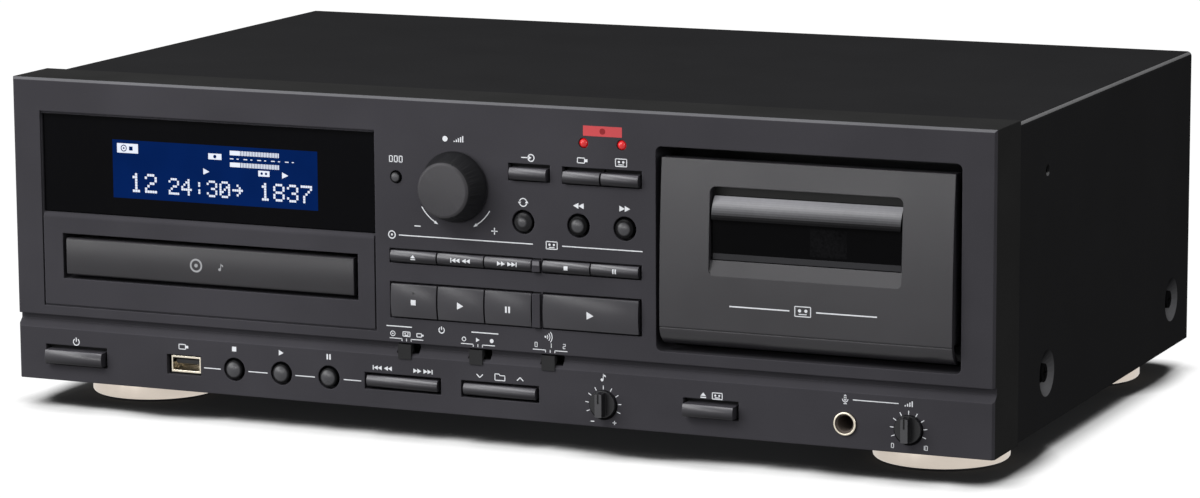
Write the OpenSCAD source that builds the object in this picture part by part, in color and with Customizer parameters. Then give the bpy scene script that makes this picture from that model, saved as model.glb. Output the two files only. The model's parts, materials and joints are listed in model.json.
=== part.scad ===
// Disc player and cassette deck in one full-width cabinet. Millimetres, Z up.
// Every sub-part is drawn in the panel frame: x to the right, y inwards from the front face,
// z up from the lower edge of the front panel. place() moves that frame onto the floor.

/* [Cabinet] */
// Space left of the display module
left_margin = 13; // [11:0.5:30]
// Space right of the cassette bay
right_margin = 13.7; // [12.5:0.1:30]
// Space between the display module and the key rows
left_gap = 6.3; // [5.8:0.1:20]
// Space between the key rows and the cassette bay
right_gap = 6.1; // [5.8:0.1:20]
// Panel above the module and the bay
top_margin = 13.7; // [12:0.1:30]
// Height of the strip below the groove
strip_h = 22.3; // [21:0.1:30]
// Depth from the front face to the back of the rear panel
cabinet_d = 270; // [250:1:330]
// Depth of the panel's side returns
return_d = 29; // [26:0.5:32]
// Thickness of the front wall
wall = 3; // [2.5:0.1:3.5]
// Bevel round the front edge
bevel = 1; // [0.5:0.1:2]
// Height of the feet
foot_h = 12; // [8:0.5:20]
// Diameter of the feet
foot_d = 55; // [40:1:60]
// Distance of the front feet's centres from the front face
foot_front = 49.5; // [40:0.5:70]
// Distance of the rear feet's centres from the back
foot_rear = 43; // [35:0.5:70]
// Thickness of the cover's sheet
sheet = 1; // [0.8:0.1:1.5]

/* [Groove] */
// Height of the groove's mouth
groove_h = 5.7; // [5.4:0.1:7]
// Depth of the groove
groove_d = 3; // [2:0.1:3.5]

/* [Display] */
// Width of the display module
module_w = 156.8; // [154:0.1:170]
// Height of the tray surround below the window
surround_h = 40; // [37:0.5:45]
// Height of the display window
window_h = 42; // [38:0.5:50]
// Depth of the window behind the front face
window_in = 1.8; // [1:0.1:2.2]
// Width of the lit display
lcd_w = 96; // [80:1:120]
// Height of the lit display
lcd_h = 24.5; // [20:0.5:28]

/* [Disc drive] */
// Diameter of a disc
disc_d = 120; // [120:1:121]
// Width of the tray's front bar
tray_bar_w = 135.2; // [132:0.1:137]
// Height of the tray's front bar
tray_bar_h = 15.7; // [14.5:0.1:17]
// Travel of the tray
tray_travel = 130; // [60:1:132]
// Number of teeth on the tray pinion
pinion_teeth = 18; // [17:1:20]

/* [Cassette bay] */
// Width of the bay's opening
bay_w = 127.6; // [126:0.1:135]
// Height of the bay's opening
bay_h = 82.3; // [82:0.1:90]
// Gap at each side of the door
door_gap = 2.7; // [1.5:0.1:3.5]
// Most the door's face stands out of the panel
door_out = 3; // [2:0.1:3.5]
// Width of the door's window
pane_w = 80.4; // [70:0.1:84]
// Distance between the two spindles
hub_pitch = 42.5; // [42:0.1:43]

/* [Controls] */
// Width of one key in the rows
key_w = 20.5; // [18:0.1:22]
// Gap between two keys
key_gap = 0.6; // [0.5:0.05:1]
// Height of the thin keys
thin_h = 4.7; // [4.2:0.1:5.4]
// Height of the tall keys
tall_h = 13.7; // [12:0.1:14.5]
// How far the keys stand out
key_out = 1.7; // [1.2:0.1:2.5]
// Travel of a key
key_travel = 1; // [0.6:0.1:1.3]
// Diameter of the round keys
round_d = 7.7; // [7:0.1:8.4]
// How far the level knob stands out
knob_out = 12.5; // [8:0.5:16]
// Diameter of the level knob at its base
knob_d = 29.2; // [24:0.1:32]
// Diameter of the level knob's face
knob_face_d = 20.8; // [18:0.1:23.5]
// Diameter of the two small knobs
dial_d = 11.4; // [10.5:0.1:12.4]
// How far the small knobs stand out
dial_out = 5.5; // [4:0.1:8]
// Travel of the slide switches
slide_travel = 4; // [2:0.1:4.4]

/* [Rear] */
// How far the phono barrels stand out of the rear panel
barrel_out = 8; // [7:0.5:10]
// Diameter of a phono barrel
barrel_d = 8.3; // [8.2:0.05:8.4]

/* [Hidden] */
$fn = 64;

// Radial clearance of a shaft in its bearing
fit = 0.06;
// Panel sizes that follow from what the panel holds
cluster_w = 5 * key_w + 3 * key_gap + 2 * key_gap + 4 + 2;
panel_w = left_margin + module_w + left_gap + cluster_w + right_gap + bay_w + right_margin;
groove_z = strip_h;
groove_top = groove_z + groove_h;
module_z = groove_top + 4;
module_h = surround_h + window_h + 0.8;
bay_z = groove_top + 4.7;
panel_h = max(module_z + module_h, bay_z + bay_h) + top_margin;
half_w = panel_w / 2;
overall_d = knob_out + cabinet_d + barrel_out;
face_y = -overall_d / 2 + knob_out;
// Cover and chassis
cover_x = half_w - 1.6;
cover_z = panel_h - 1.5;
cover_y = return_d + 0.3;
dish_d = 19;
dish_deep = 3;
dish_z = 21.3;
dish_ys = [70.3, cabinet_d - 24.4];
flange_x = cover_x - sheet - dish_deep;
floor_x = half_w - wall - 0.2;
floor_z = 2.7;
floor_top = floor_z + 1.2;
foot_x = half_w - 38.5;
foot_ys = [foot_front, cabinet_d - foot_rear];
// Left module
module_x = -half_w + left_margin;
module_cx = module_x + module_w / 2;
window_z = module_z + surround_h;
slot_w = tray_bar_w + 3.7;
slot_h = tray_bar_h + 3.6;
slot_z = module_z + surround_h / 2 + 1.7 - slot_h / 2;
tray_cx = module_cx + 0.8;
tray_z = slot_z + 5.5;
lcd_z = window_z + window_h / 2 - 1.6;
// Disc drive
disc_y = 70;
tray_w = disc_d + 6;
tray_y = 4.6;
tray_l = 178;
tray_t = 8;
deck_z = tray_z - 8.5;
pinion_r = pinion_teeth / 2;
pinion_y = 34;
rack_x = 52;
rail_in = tray_w / 2 + 0.5;
// Key rows
row_x = module_x + module_w + left_gap + 1;
key_pitch = key_w + key_gap;
divider_x = row_x + 3 * key_pitch;
row2_x = divider_x + 4 + key_gap;
row_end = row2_x + 2 * key_w + key_gap;
key_xs = [row_x, row_x + key_pitch, row_x + 2 * key_pitch, row2_x, row2_x + key_pitch];
thin_z = groove_top + 35.8;
tall_z = groove_top + 17.6;
// Other controls, from the left end of the rows
cx = row_x + 40.4;
zz = groove_top - 28;
strip_z = strip_h / 2 - 0.2;
level_at = [cx - 11.4, zz + 93.8];
counter_at = [cx - 38, zz + 96.2];
source_at = [cx + 21.3, zz + 101.2];
memory_rec_at = [cx + 44.7, zz + 101];
tape_rec_at = [cx + 61.4, zz + 101];
repeat_at = [cx + 18.6, zz + 81.1];
rewind_at = [cx + 42.8, zz + 81.1];
forward_at = [cx + 62.9, zz + 81.1];
lamp_xs = [cx + 45.1, cx + 61.6];
lamp_z = zz + 114.5;
power_at = [module_x + 15, strip_z];
port_at = [module_x + 0.42474 * module_w, strip_z];
memory_xs = [for (f = [0.57717, 0.71747, 0.85778]) module_x + f * module_w];
skip_at = [cx - 36.2, strip_z];
folder_at = [cx + 7.6, strip_z];
pitch_at = [cx + 53.2, strip_z - 1.4];
slider_xs = [cx - 34.2, cx - 2.1, cx + 30];
slider_z = groove_top - 2.6;
// Cassette bay
bay_x = half_w - right_margin - bay_w;
bay_cx = bay_x + bay_w / 2;
bay_top = bay_z + bay_h;
eject_at = [bay_cx - 40.4, strip_z];
jack_at = [bay_cx + 16.3, strip_z - 1.2];
mic_at = [bay_cx + 42.6, strip_z - 1.2];
door_w = bay_w - 2 * door_gap;
door_z = bay_z + 2.8;
door_top = bay_top - 4.2;
hinge_y = 5.5;
hinge_z = bay_z + 11.3;
lip_r = hinge_y + door_out;
apex_z = hinge_z + 4;
door_r = pow(door_top - apex_z, 2) / (2 * door_out);
door_back = 6;
pane_z = bay_z + 32.4;
pane_h = 35.4;
sill_h = 6;
pane_y = -0.4;
pane_gap = 0.8;
ring_gap = 1.1;
key_drop = [0, 0.5];
roll_r = 12.4;
roll_z = pane_z + 0.633 * pane_h;
roll_h = 0.254 * pane_h;
roll_y = 1.1 - door_out;
hub_z = bay_z + 42.3;
pocket_y = 13.4;
pocket_z = bay_z + 13.5;
plate_y = 33;
holder_in = 50.7;
holder_out = 53.4;
head_lift = 4.5;
capstan_at = [bay_cx + 23.5, hub_z - 19.5];
roller_at = [capstan_at[0], capstan_at[1] - 14.2];
// Boards behind the panel
board_y = 15.5;
switch_y = board_y - 3.5;
plunger_y = switch_y - 0.8;
stem_y = plunger_y - key_travel - 0.3;
flange_y = wall + 0.35;
low_z = 4.3;
low_h = groove_top - low_z + 1.4;

module place() translate([0, face_y, foot_h]) children();

// A section drawn in (y, z) and run along x
module run_x(length) rotate([90, 0, 90]) linear_extrude(length, center = true) children();

// A section drawn in (x, z) and run inwards from y
module run_y(y, length) translate([0, y + length, 0]) rotate([90, 0, 0]) linear_extrude(length) children();

// A cylinder along y whose front end is at the given y
module rod_y(at, y, r, length, r2 = undef)
    translate([at[0], y, at[1]]) rotate([-90, 0, 0])
        cylinder(r1 = r, r2 = is_undef(r2) ? r : r2, h = length);

module box(x, y, z) translate([x[0], y[0], z[0]]) cube([x[1] - x[0], y[1] - y[0], z[1] - z[0]]);

module round_rect(x, z, r) {
    translate([x[0] + r, z[0]]) square([x[1] - x[0] - 2 * r, z[1] - z[0]]);
    translate([x[0], z[0] + r]) square([x[1] - x[0], z[1] - z[0] - 2 * r]);
    for (u = [x[0] + r, x[1] - r], v = [z[0] + r, z[1] - r]) translate([u, v]) circle(r);
}

// Rectangle round a centre, as two ranges
function span(at, w) = [at - w / 2, at + w / 2];

// Front panel

module panel_profile(cut = 0)
    polygon([[cut, -cut], [cut, groove_z], [groove_d + cut, groove_z + groove_d + cut * 0.41],
        [groove_d + cut, groove_top - (cut > 0 ? -cut : 0)], [cut, groove_top + cut],
        [cut, panel_h - bevel - cut], [bevel + cut, panel_h - cut], [return_d + 2 * cut, panel_h - cut],
        [return_d + 2 * cut, -cut]]);

module panel_shell() difference() {
    run_x(panel_w) panel_profile();
    run_x(panel_w - 2 * wall) panel_profile(wall);
    // Chamfered front corners
    for (s = [-1, 1]) scale([s, 1, 1]) translate([half_w, -1, -1]) linear_extrude(panel_h + 2)
        polygon([[0.01, 0], [0.01, 1 + bevel], [-1 - bevel, 0]]);
}

module frame_ring(x, z, t, r, y) run_y(y[0], y[1] - y[0]) difference() {
    round_rect([x[0] - t, x[1] + t], [z[0] - t, z[1] + t], r + t);
    round_rect(x, z, r);
}

module key_hole(at, w, h, gap) box(span(at[0], w + 2 * gap), [-5, wall + 0.2], span(at[1], h + 2 * gap));

module panel_holes() {
    // Outline round the display module, window and the rounded top of the tray surround
    run_y(-1, 2) difference() {
        translate([module_x, module_z]) square([module_w, module_h]);
        translate([module_x + 0.7, module_z + 0.7]) square([module_w - 1.4, module_h - 1.4]);
    }
    box([module_x + 0.3, module_x + module_w - 0.3], [-1, wall + 1], [window_z, window_z + window_h]);
    difference() {
        box([module_x + 0.6, module_x + module_w - 0.6], [-1, 2.2], [window_z - 2.2, window_z + 0.1]);
        translate([module_cx, 2.2, window_z - 2.2]) rotate([0, 90, 0])
            cylinder(r = 2.2, h = module_w + 4, center = true);
    }
    box(span(tray_cx, slot_w), [-1, 16], [slot_z, slot_z + slot_h]);
    run_y(-1, 60) round_rect([bay_x, bay_x + bay_w], [bay_z, bay_top], 2.5);
    // Key rows
    for (r = [[thin_z, thin_h], [tall_z, tall_h]]) {
        box([row_x - 1, divider_x], [-5, wall + 1], span(r[0], r[1] + 1.4));
        box([row2_x - key_gap, row_end + 1], [-5, wall + 1], span(r[0], r[1] + 1.4));
    }
    key_hole(source_at, 16.4, 5.2, 1);
    key_hole((memory_rec_at + tape_rec_at) / 2, 32.6, 5.2, 1);
    key_hole(power_at, 27.6, 6.7, 1);
    key_hole(eject_at, 21.8, 5.8, 1);
    for (at = [skip_at, folder_at]) key_hole(at, 32.6, 4.8, 1.1);
    box(span(port_at[0], 16.2), [-1, wall + 1], span(port_at[1], 8.4));
    for (at = [repeat_at, rewind_at, forward_at]) rod_y(at, -1, round_d / 2 + ring_gap, wall + 2);
    for (x = memory_xs) rod_y([x, strip_z], -1, round_d / 2 + ring_gap, wall + 2);
    rod_y(counter_at, -1, 2.7, wall + 2);
    for (x = lamp_xs) rod_y([x, lamp_z], -1, 2.1, wall + 2);
    rod_y(level_at, -1, 4.5, wall + 2);
    for (at = [pitch_at, mic_at]) rod_y(at, -1, 4, wall + 2);
    rod_y(jack_at, -1, 4.3, wall + 2);
    for (x = slider_xs) box(span(x, 10), [-1, groove_d + 4], span(slider_z, 4.2));
    for (x = slider_xs) box(span(x, 12), [groove_d + 2.2, groove_d + 4], span(slider_z, 9));
}

board_posts = [[cx + 31, zz + 90], [cx - 38, zz + 84], [cx - 30, (thin_z + tall_z) / 2 + 2.4],
    [cx + 58, (thin_z + tall_z) / 2 + 2.4]];
low_posts = [[module_x + 46, strip_z], [cx + 37, strip_z], [bay_cx - 10, strip_z]];
plate_posts = [[bay_x - 4.6, bay_top - 4.5], [bay_x - 4.6, bay_z + 1], [bay_x + bay_w + 5.6, bay_top - 4.5],
    [bay_x + bay_w + 5.6, bay_z + 1]];

module rocker_lugs(at) difference() {
    for (v = [at[1] + 6.3, at[1] - 6.3]) box(span(at[0], 5), [wall - 0.5, 9], span(v, 3));
    translate([at[0], 6.2, at[1] - 10]) cylinder(r = 1.25, h = 20);
}

module front_panel() color("#403f42") place() {
    difference() {
        union() {
            panel_shell();
            // Stiff rib behind the groove
            box([-half_w + 1, half_w - 1], [1, groove_d + 2.2], [groove_top - 0.1, groove_top + 2.6]);
            frame_ring(span(tray_cx, slot_w), [slot_z, slot_z + slot_h], 1.6, 0.1, [1, 14]);
            frame_ring([bay_x, bay_x + bay_w], [bay_z, bay_top], 1.8, 2.5, [1, 16]);
            for (p = board_posts) rod_y(p, wall - 0.5, 2.4, board_y - wall + 0.5);
            for (p = low_posts) rod_y(p, wall - 0.5, 3, board_y - wall + 0.5);
            for (p = plate_posts) rod_y(p, wall - 0.5, 2.7, plate_y - wall + 0.5);
        }
        panel_holes();
    }
    for (r = [[thin_z, thin_h], [tall_z, tall_h]])
        box([divider_x, divider_x + 4 - key_gap], [-key_out, wall], span(r[0], r[1]));
    for (at = [skip_at, folder_at]) rocker_lugs(at);
}

// Cabinet

module cover_section(x, z, r) {
    translate([-x, 0]) square([2 * x, z - r]);
    translate([-x + r, 0]) square([2 * x - 2 * r, z]);
    for (s = [-1, 1]) translate([s * (x - r), z - r]) circle(r);
}

module top_cover() color("#232323") place() difference() {
    union() {
        difference() {
            run_y(cover_y, cabinet_d - cover_y + 1) cover_section(cover_x, cover_z, 2);
            run_y(cover_y - 1, cabinet_d - cover_y + 1) cover_section(cover_x - sheet, cover_z - sheet, 1);
            box([-cover_x + sheet, cover_x - sheet], [cover_y, cabinet_d + 5], [-1, cover_z - 10]);
        }
        for (s = [-1, 1], y = dish_ys) translate([s * flange_x, y, dish_z]) rotate([0, s * 90, 0])
            cylinder(r1 = dish_d / 4, r2 = dish_d / 2, h = dish_deep + sheet / 2);
    }
    for (s = [-1, 1], y = dish_ys) translate([s * (flange_x + sheet), y, dish_z]) rotate([0, s * 90, 0]) {
        cylinder(r1 = dish_d / 4 - 0.3, r2 = dish_d / 2, h = dish_deep);
        translate([0, 0, -3]) cylinder(r = 1.8, h = 5);
        translate([0, 0, dish_deep - 0.01]) cylinder(r = dish_d / 2, h = 2);
    }
    for (s = [-1, 1]) translate([s * (cover_x + 0.4), dish_ys[0] - 1.8, panel_h - 25.2]) sphere(r = 2.4);
    for (x = [-1, 0, 1]) rod_y([x * (half_w - 40), cover_z - 5.5], cabinet_d - 2, 1.8, 5);
}

module bottom_chassis() color("#8b8d90") place() difference() {
    union() {
        box([-floor_x, floor_x], [10, cabinet_d - 1.2], [floor_z, floor_top]);
        // Tabs that reach the back of the front wall
        for (x = [module_x + 55, cx + 72]) box(span(x, 30), [wall, 12], [floor_z, floor_top]);
        for (s = [-1, 1]) scale([s, 1, 1])
            box([flange_x - 1.2, flange_x], [42, cabinet_d - 1.2], [floor_z, floor_z + 32]);
        // Raised posts under the main board
        for (p = main_posts) translate([p[0], p[1], floor_top - 0.5]) cylinder(r = 3, h = 6.5);
    }
    for (s = [-1, 1], y = dish_ys) translate([s * flange_x, y, dish_z]) rotate([0, 90, 0])
        cylinder(r = 1.8, h = 10, center = true);
    for (s = [-1, 1], y = foot_ys) translate([s * foot_x, y, 0]) cylinder(r = 2.3, h = 10);
    for (i = [-5:5]) box(span(i * 9 - 20, 3), [130, 170], [0, 8]);
}

main_posts = [for (x = [-8, 92, 192], y = [128, 250]) [x, y + cabinet_d - 270]];

module rear_panel() color("#2a2a2b") place() difference() {
    box([-floor_x, floor_x], [cabinet_d - 1.2, cabinet_d], [floor_z, cover_z - sheet - 0.3]);
    for (at = jack_ats) rod_y(at, cabinet_d - 4, barrel_d / 2 + 0.6, 8);
    box(span(inlet_at[0], 20.4), [cabinet_d - 4, cabinet_d + 1], span(inlet_at[1], 12.4));
    for (x = [-1, 0, 1]) rod_y([x * (half_w - 40), cover_z - 5.5], cabinet_d - 2, 1.8, 5);
}

jack_ats = [for (x = [20, 38], z = [34, 52]) [x, z]];
inlet_at = [-150, 40];

module feet() color("#b79d6c") place() for (s = [-1, 1], y = foot_ys)
    translate([s * foot_x, y, -foot_h]) difference() {
    union() {
        translate([0, 0, 1]) rotate_extrude() polygon([[0, 0], [foot_d / 2 - 0.8, 0], [foot_d / 2, 0.8],
            [foot_d / 2, foot_h - 2.4], [foot_d / 2 - 0.9, foot_h - 1.4], [0, foot_h - 1.4]]);
        cylinder(r = 14, h = foot_h + floor_z);
    }
    cylinder(r = 2.3, h = 40);
    translate([0, 0, -1]) cylinder(r = 6, h = 6);
    translate([0, 0, -1]) cylinder(r = 14.5, h = 2);
}

module foot_pads() color("#1c1c1c") place() for (s = [-1, 1], y = foot_ys) translate([s * foot_x, y, -foot_h])
    rotate_extrude() translate([14.5, 0]) square([foot_d / 2 - 16.5, 1]);

module screw(head_r, shank_r, length) {
    difference() {
        translate([0, 0, 0]) cylinder(r = head_r, h = 2);
        for (a = [0, 90]) rotate(a) translate([-2.2, -0.5, 1]) cube([4.4, 1, 2]);
    }
    translate([0, 0, -length]) cylinder(r = shank_r, h = length);
}

module cabinet_screws() color("#3a3a3c") place() {
    for (s = [-1, 1], y = dish_ys)
        translate([s * (flange_x + sheet), y, dish_z]) rotate([0, s * 90, 0]) screw(3.8, 1.5, 5);
    for (x = [-1, 0, 1])
        translate([x * (half_w - 40), cabinet_d + 1, cover_z - 5.5]) rotate([-90, 0, 0]) screw(3.2, 1.5, 5);
    for (s = [-1, 1], y = foot_ys) translate([s * foot_x, y, -foot_h + 5]) mirror([0, 0, 1]) screw(4, 2, foot_h + 1);
}

// Display and sockets

module display_window() color("#0c0c0f") place() {
    box([module_x + 0.6, module_x + module_w - 0.6], [window_in, wall], [window_z + 0.3, window_z + window_h - 0.3]);
    box([module_x - 2, module_x + module_w + 2], [wall, wall + 1.5], [window_z - 3, window_z + window_h + 3]);
}

module display_module() color("#0a3a8a") place() difference() {
    box(span(module_cx, lcd_w + 9), [wall + 1.5, wall + 10], span(lcd_z, lcd_h + 9));
    box(span(module_cx, lcd_w), [wall, wall + 2], span(lcd_z, lcd_h));
}

module record_lamps() color("#d1323a") place() for (x = lamp_xs) {
    difference() {
        translate([x, 0.9, lamp_z]) sphere(r = 1.9);
        box(span(x, 6), [0.9, 5], span(lamp_z, 6));
    }
    rod_y([x, lamp_z], 0.9, 1.9, wall - 0.9);
    rod_y([x, lamp_z], wall, 2.7, 2);
    for (u = [-1.27, 1.27]) box(span(x + u, 0.6), [wall + 2, board_y], span(lamp_z, 0.6));
}

module memory_port() color("#b9bbbd") place() {
    difference() {
        box(span(port_at[0], 14), [1.8, board_y], span(port_at[1], 7.2));
        box(span(port_at[0], 12.5), [0, board_y - 1.5], span(port_at[1], 5.2));
    }
    box(span(port_at[0], 11.1), [3.4, board_y - 1.5], span(port_at[1] + 0.9, 1.8));
}

module microphone_jack() color("#d4d4d2") place() difference() {
    union() {
        rod_y(jack_at, -1, 4.5, 0.4, 4.75);
        rod_y(jack_at, -0.6, 4.75, 0.6);
        rod_y(jack_at, -0.1, 4.1, wall + 1);
        box(span(jack_at[0], 14), [wall, 30], span(jack_at[1] + 0.3, 11));
    }
    rod_y(jack_at, -2, 3.25, 30);
    rod_y(jack_at, -2, 3.9, 2);
}

// Boards

module key_switch(at) {
    box(span(at[0], 6), [switch_y, board_y], span(at[1], 6));
    rod_y(at, plunger_y, 1.7, 1.2);
}

function row_at(i, z) = [key_xs[i] + key_w / 2, z];

play_at = [row2_x + key_w + key_gap / 2, tall_z];
upper_switches = concat([for (i = [0:4]) row_at(i, thin_z)], [for (i = [0:2]) row_at(i, tall_z)],
    [play_at, source_at, memory_rec_at, tape_rec_at, repeat_at, rewind_at, forward_at, counter_at]);
lower_switches = concat([for (x = memory_xs) [x, strip_z]], [power_at, eject_at],
    [for (at = [skip_at, folder_at], u = [-11, 11]) at + [u, 0]]);

module turning_body(at, r, w) difference() {
    box(span(at[0], w), [wall + 4, board_y], span(at[1], w));
    rod_y(at, wall, r + fit, board_y - wall - 1);
}

module control_board() color("#2f6b3a") place() {
    difference() {
        box([row_x - 3, row_end - 4], [board_y, board_y + 1.6], [groove_top + 6, lamp_z + 5]);
        for (p = board_posts) rod_y(p, board_y - 1, 1, 4);
    }
    difference() {
        box([module_x - 4, bay_x + bay_w - 4], [board_y, board_y + 1.6], [low_z, low_z + low_h]);
        box(span(jack_at[0], 15), [board_y - 1, board_y + 3], span(jack_at[1] + 0.3, 12));
    }
    for (at = upper_switches) key_switch(at);
    for (at = lower_switches) key_switch(at);
    turning_body(level_at, 3, 13);
    for (at = [pitch_at, mic_at]) turning_body(at, 2, 10);
    for (x = slider_xs) box(span(x, 15), [groove_d + 5, board_y], span(slider_z, 5.6));
}

module phono_jacks() color("#c8a24a") place() {
    for (at = jack_ats) difference() {
        union() {
            rod_y(at, cabinet_d - 0.9, barrel_d / 2, barrel_out + 0.9);
            rod_y(at, cabinet_d, barrel_d / 2 + 1.6, 1.2);
        }
        rod_y(at, cabinet_d + 1.5, 1.7, barrel_out);
    }
    box([12, 46], [cabinet_d - 12, cabinet_d - 1.2], [27, 59]);
    for (at = jack_ats) rod_y(at, cabinet_d - 1.2, barrel_d / 2, 0.4);
}

module mains_inlet() color("#161616") place() difference() {
    union() {
        box(span(inlet_at[0], 20), [cabinet_d - 20, cabinet_d], span(inlet_at[1], 12));
        box(span(inlet_at[0], 24), [cabinet_d, cabinet_d + 1.2], span(inlet_at[1], 16));
    }
    difference() {
        run_y(cabinet_d - 12, 20) round_rect(span(inlet_at[0], 16.6), span(inlet_at[1], 8.8), 4.2);
        for (s = [-1, 1]) rod_y([inlet_at[0] + s * 4.2, inlet_at[1]], cabinet_d - 13, 1.2, 10);
    }
}

module main_board() color("#2f6b3a") place() translate([0, cabinet_d - 270, floor_top + 6]) {
    difference() {
        box([-16, 200], [122, 255], [0, 1.6]);
        for (p = main_posts) translate([p[0], p[1] - cabinet_d + 270, -1]) cylinder(r = 1.5, h = 4);
    }
    box([120, 180], [180, 235], [1.6, 10]);
    box([124, 176], [176, 239], [10, 46]);
    box([130, 170], [170, 245], [14, 42]);
    for (p = [[20, 200], [44, 200], [20, 224]]) translate([p[0], p[1], 1.6]) cylinder(r = 9, h = 30);
    for (i = [0:5]) box([60 + i * 6, 62 + i * 6], [190, 225], [1.6, 38]);
    box([60, 92], [205, 208], [1.6, 36]);
    for (p = [[10, 150], [60, 150], [110, 145]]) box(span(p[0], 18), span(p[1], 18), [1.6, 4.4]);
}

// Disc drive

function inv(a) = tan(a) - a * PI / 180;
function flank(r, base) = acos(min(1, base / r));
function lean(half, r, base) = half + (inv(20) - inv(flank(r, base))) * 180 / PI;

module pinion_outline(n, ease) {
    base = n / 2 * cos(20);
    tip = n / 2 + 0.85;
    half = 90 / n - ease;
    rs = [for (i = [0:5]) base + (tip - base) * i / 5];
    circle(n / 2 - 1.15);
    for (k = [0:n - 1]) rotate((k + 0.5) * 360 / n) polygon(concat([[n / 2 - 1.6, -1.05]],
        [for (r = rs) r * [cos(lean(half, r, base)), -sin(lean(half, r, base))]],
        [for (i = [5:-1:0]) rs[i] * [cos(lean(half, rs[i], base)), sin(lean(half, rs[i], base))]],
        [[n / 2 - 1.6, 1.05]]));
}

module tray_rack() {
    count = ceil((tray_travel + 12) / PI);
    translate([tray_cx + rack_x, 0, tray_z - 4]) linear_extrude(4.2) {
        translate([1.15, pinion_y - 8]) square([3.4, count * PI + 4]);
        for (k = [-2:count - 3]) translate([0, pinion_y + k * PI]) polygon([[1.3, -PI / 4 - 0.36], [1.3, PI / 4 + 0.36],
            [-0.8, PI / 4 - 0.4], [-0.8, -PI / 4 + 0.4]]);
    }
}

module tray_pinion() color("#d8d8d4") place() translate([tray_cx + rack_x - pinion_r, pinion_y, tray_z - 4]) difference() {
    union() {
        linear_extrude(3.2) pinion_outline(pinion_teeth, 0.9);
        translate([0, 0, -2.1]) cylinder(r = 4.5, h = 2.5);
    }
    translate([0, 0, -5]) cylinder(r = 1.5 + fit, h = 12);
}

module disc_tray() color("#2b2b2d") place() {
    difference() {
        union() {
            box(span(tray_cx, tray_w), [tray_y, tray_y + tray_l], [tray_z, tray_z + tray_t]);
            for (s = [-1, 1])
                box(span(tray_cx + s * (tray_w / 2 + 0.5), 3), [18, tray_y + tray_l], [tray_z + 2.5, tray_z + 5]);
            box(span(tray_cx, tray_w), [2.9, tray_y + 1.8], [tray_z, tray_z + 12]);
        }
        translate([tray_cx, disc_y, tray_z + tray_t - 2.4]) cylinder(r = disc_d / 2 + 1, h = 20);
        translate([tray_cx, disc_y, tray_z + tray_t - 3.8]) cylinder(r = 41, h = 20);
        translate([tray_cx, disc_y, tray_z - 1]) cylinder(r = 19, h = 20);
        box(span(tray_cx, 38), [disc_y, tray_y + tray_l + 1], [tray_z - 1, tray_z + 20]);
        for (s = [-1, 1]) translate([tray_cx + s * 44, disc_y - 42, tray_z - 1]) cylinder(r = 8, h = 30);
    }
    tray_rack();
}

module tray_bar() color("#454447") place() run_x_at(tray_cx, tray_bar_w)
    soft_front(-0.5, 2.9, slot_z + (slot_h - tray_bar_h) / 2, tray_bar_h, 1);

module run_x_at(x, length) translate([x, 0, 0]) run_x(length) children();

// Section of a cap with its two front edges rounded
module soft_front(y0, y1, z, h, r) {
    translate([y0 + r, z]) square([y1 - y0 - r, h]);
    translate([y0, z + r]) square([y1 - y0, h - 2 * r]);
    for (v = [z + r, z + h - r]) translate([y0 + r, v]) circle(r);
}

module disc_loader() color("#6f7072") place() {
    difference() {
        union() {
            box(span(tray_cx, 2 * rail_in + 9), [20, 196], [deck_z, deck_z + 2]);
            for (s = [-1, 1]) box(span(tray_cx + s * (rail_in + 2.25), 4.5), [20, 196], [deck_z, tray_z + 16]);
            // Clamp bridge over the disc
            box(span(tray_cx, 2 * rail_in + 9), span(disc_y, 26), [tray_z + 16, tray_z + 18]);
            translate([tray_cx, disc_y, tray_z + 12]) cylinder(r = 15, h = 5);
            for (x = [-60, 60], y = [46, 182])
                translate([tray_cx + x, y, floor_top]) cylinder(r = 4, h = deck_z - floor_top + 1);
            translate([tray_cx, disc_y, deck_z]) cylinder(r = 5, h = 5);
            translate([tray_cx + rack_x - pinion_r, pinion_y, deck_z]) cylinder(r = 1.5, h = 7.6);
            for (y = [92, 176]) box(span(tray_cx, 52), span(y, 4), [deck_z, deck_z + 7.4]);
            for (s = [-1, 1])
                translate([tray_cx + s * 21, 92, deck_z + 5.2]) rotate([-90, 0, 0]) cylinder(r = 1.2, h = 84);
            translate([tray_cx, disc_y, deck_z - 12]) cylinder(r = 13, h = 12.5);
        }
        for (s = [-1, 1]) box(span(tray_cx + s * (rail_in + 0.4), 3.8), [10, 190], [tray_z + 2.1, tray_z + 5.4]);
        translate([tray_cx, disc_y, deck_z - 2]) cylinder(r = 1.5 + fit, h = 12);
    }
}

module disc_turntable() color("#3a3a3c") place() translate([tray_cx, disc_y, 0]) {
    translate([0, 0, deck_z - 1.5]) cylinder(r = 1.5, h = 9);
    translate([0, 0, deck_z + 5.4]) cylinder(r = 6, h = 3);
    translate([0, 0, tray_z + 3.2]) cylinder(r = 14.5, h = 2.4);
    translate([0, 0, deck_z + 8]) cylinder(r = 6, h = tray_z + 4 - deck_z - 8);
    translate([0, 0, tray_z + 5.6]) cylinder(r1 = 7.4, r2 = 5.5, h = 2);
}

module optical_pickup() color("#4d4e52") place() difference() {
    union() {
        box(span(tray_cx, 48), [96, 122], [deck_z + 2.8, deck_z + 7.6]);
        translate([tray_cx, 108, deck_z + 7.6]) cylinder(r = 6, h = 2.6);
        translate([tray_cx, 108, deck_z + 10.2]) cylinder(r = 2, h = 0.7);
    }
    for (s = [-1, 1])
        translate([tray_cx + s * 21, 90, deck_z + 5.2]) rotate([-90, 0, 0]) cylinder(r = 1.2 + fit, h = 90);
}

// Cassette bay

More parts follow.
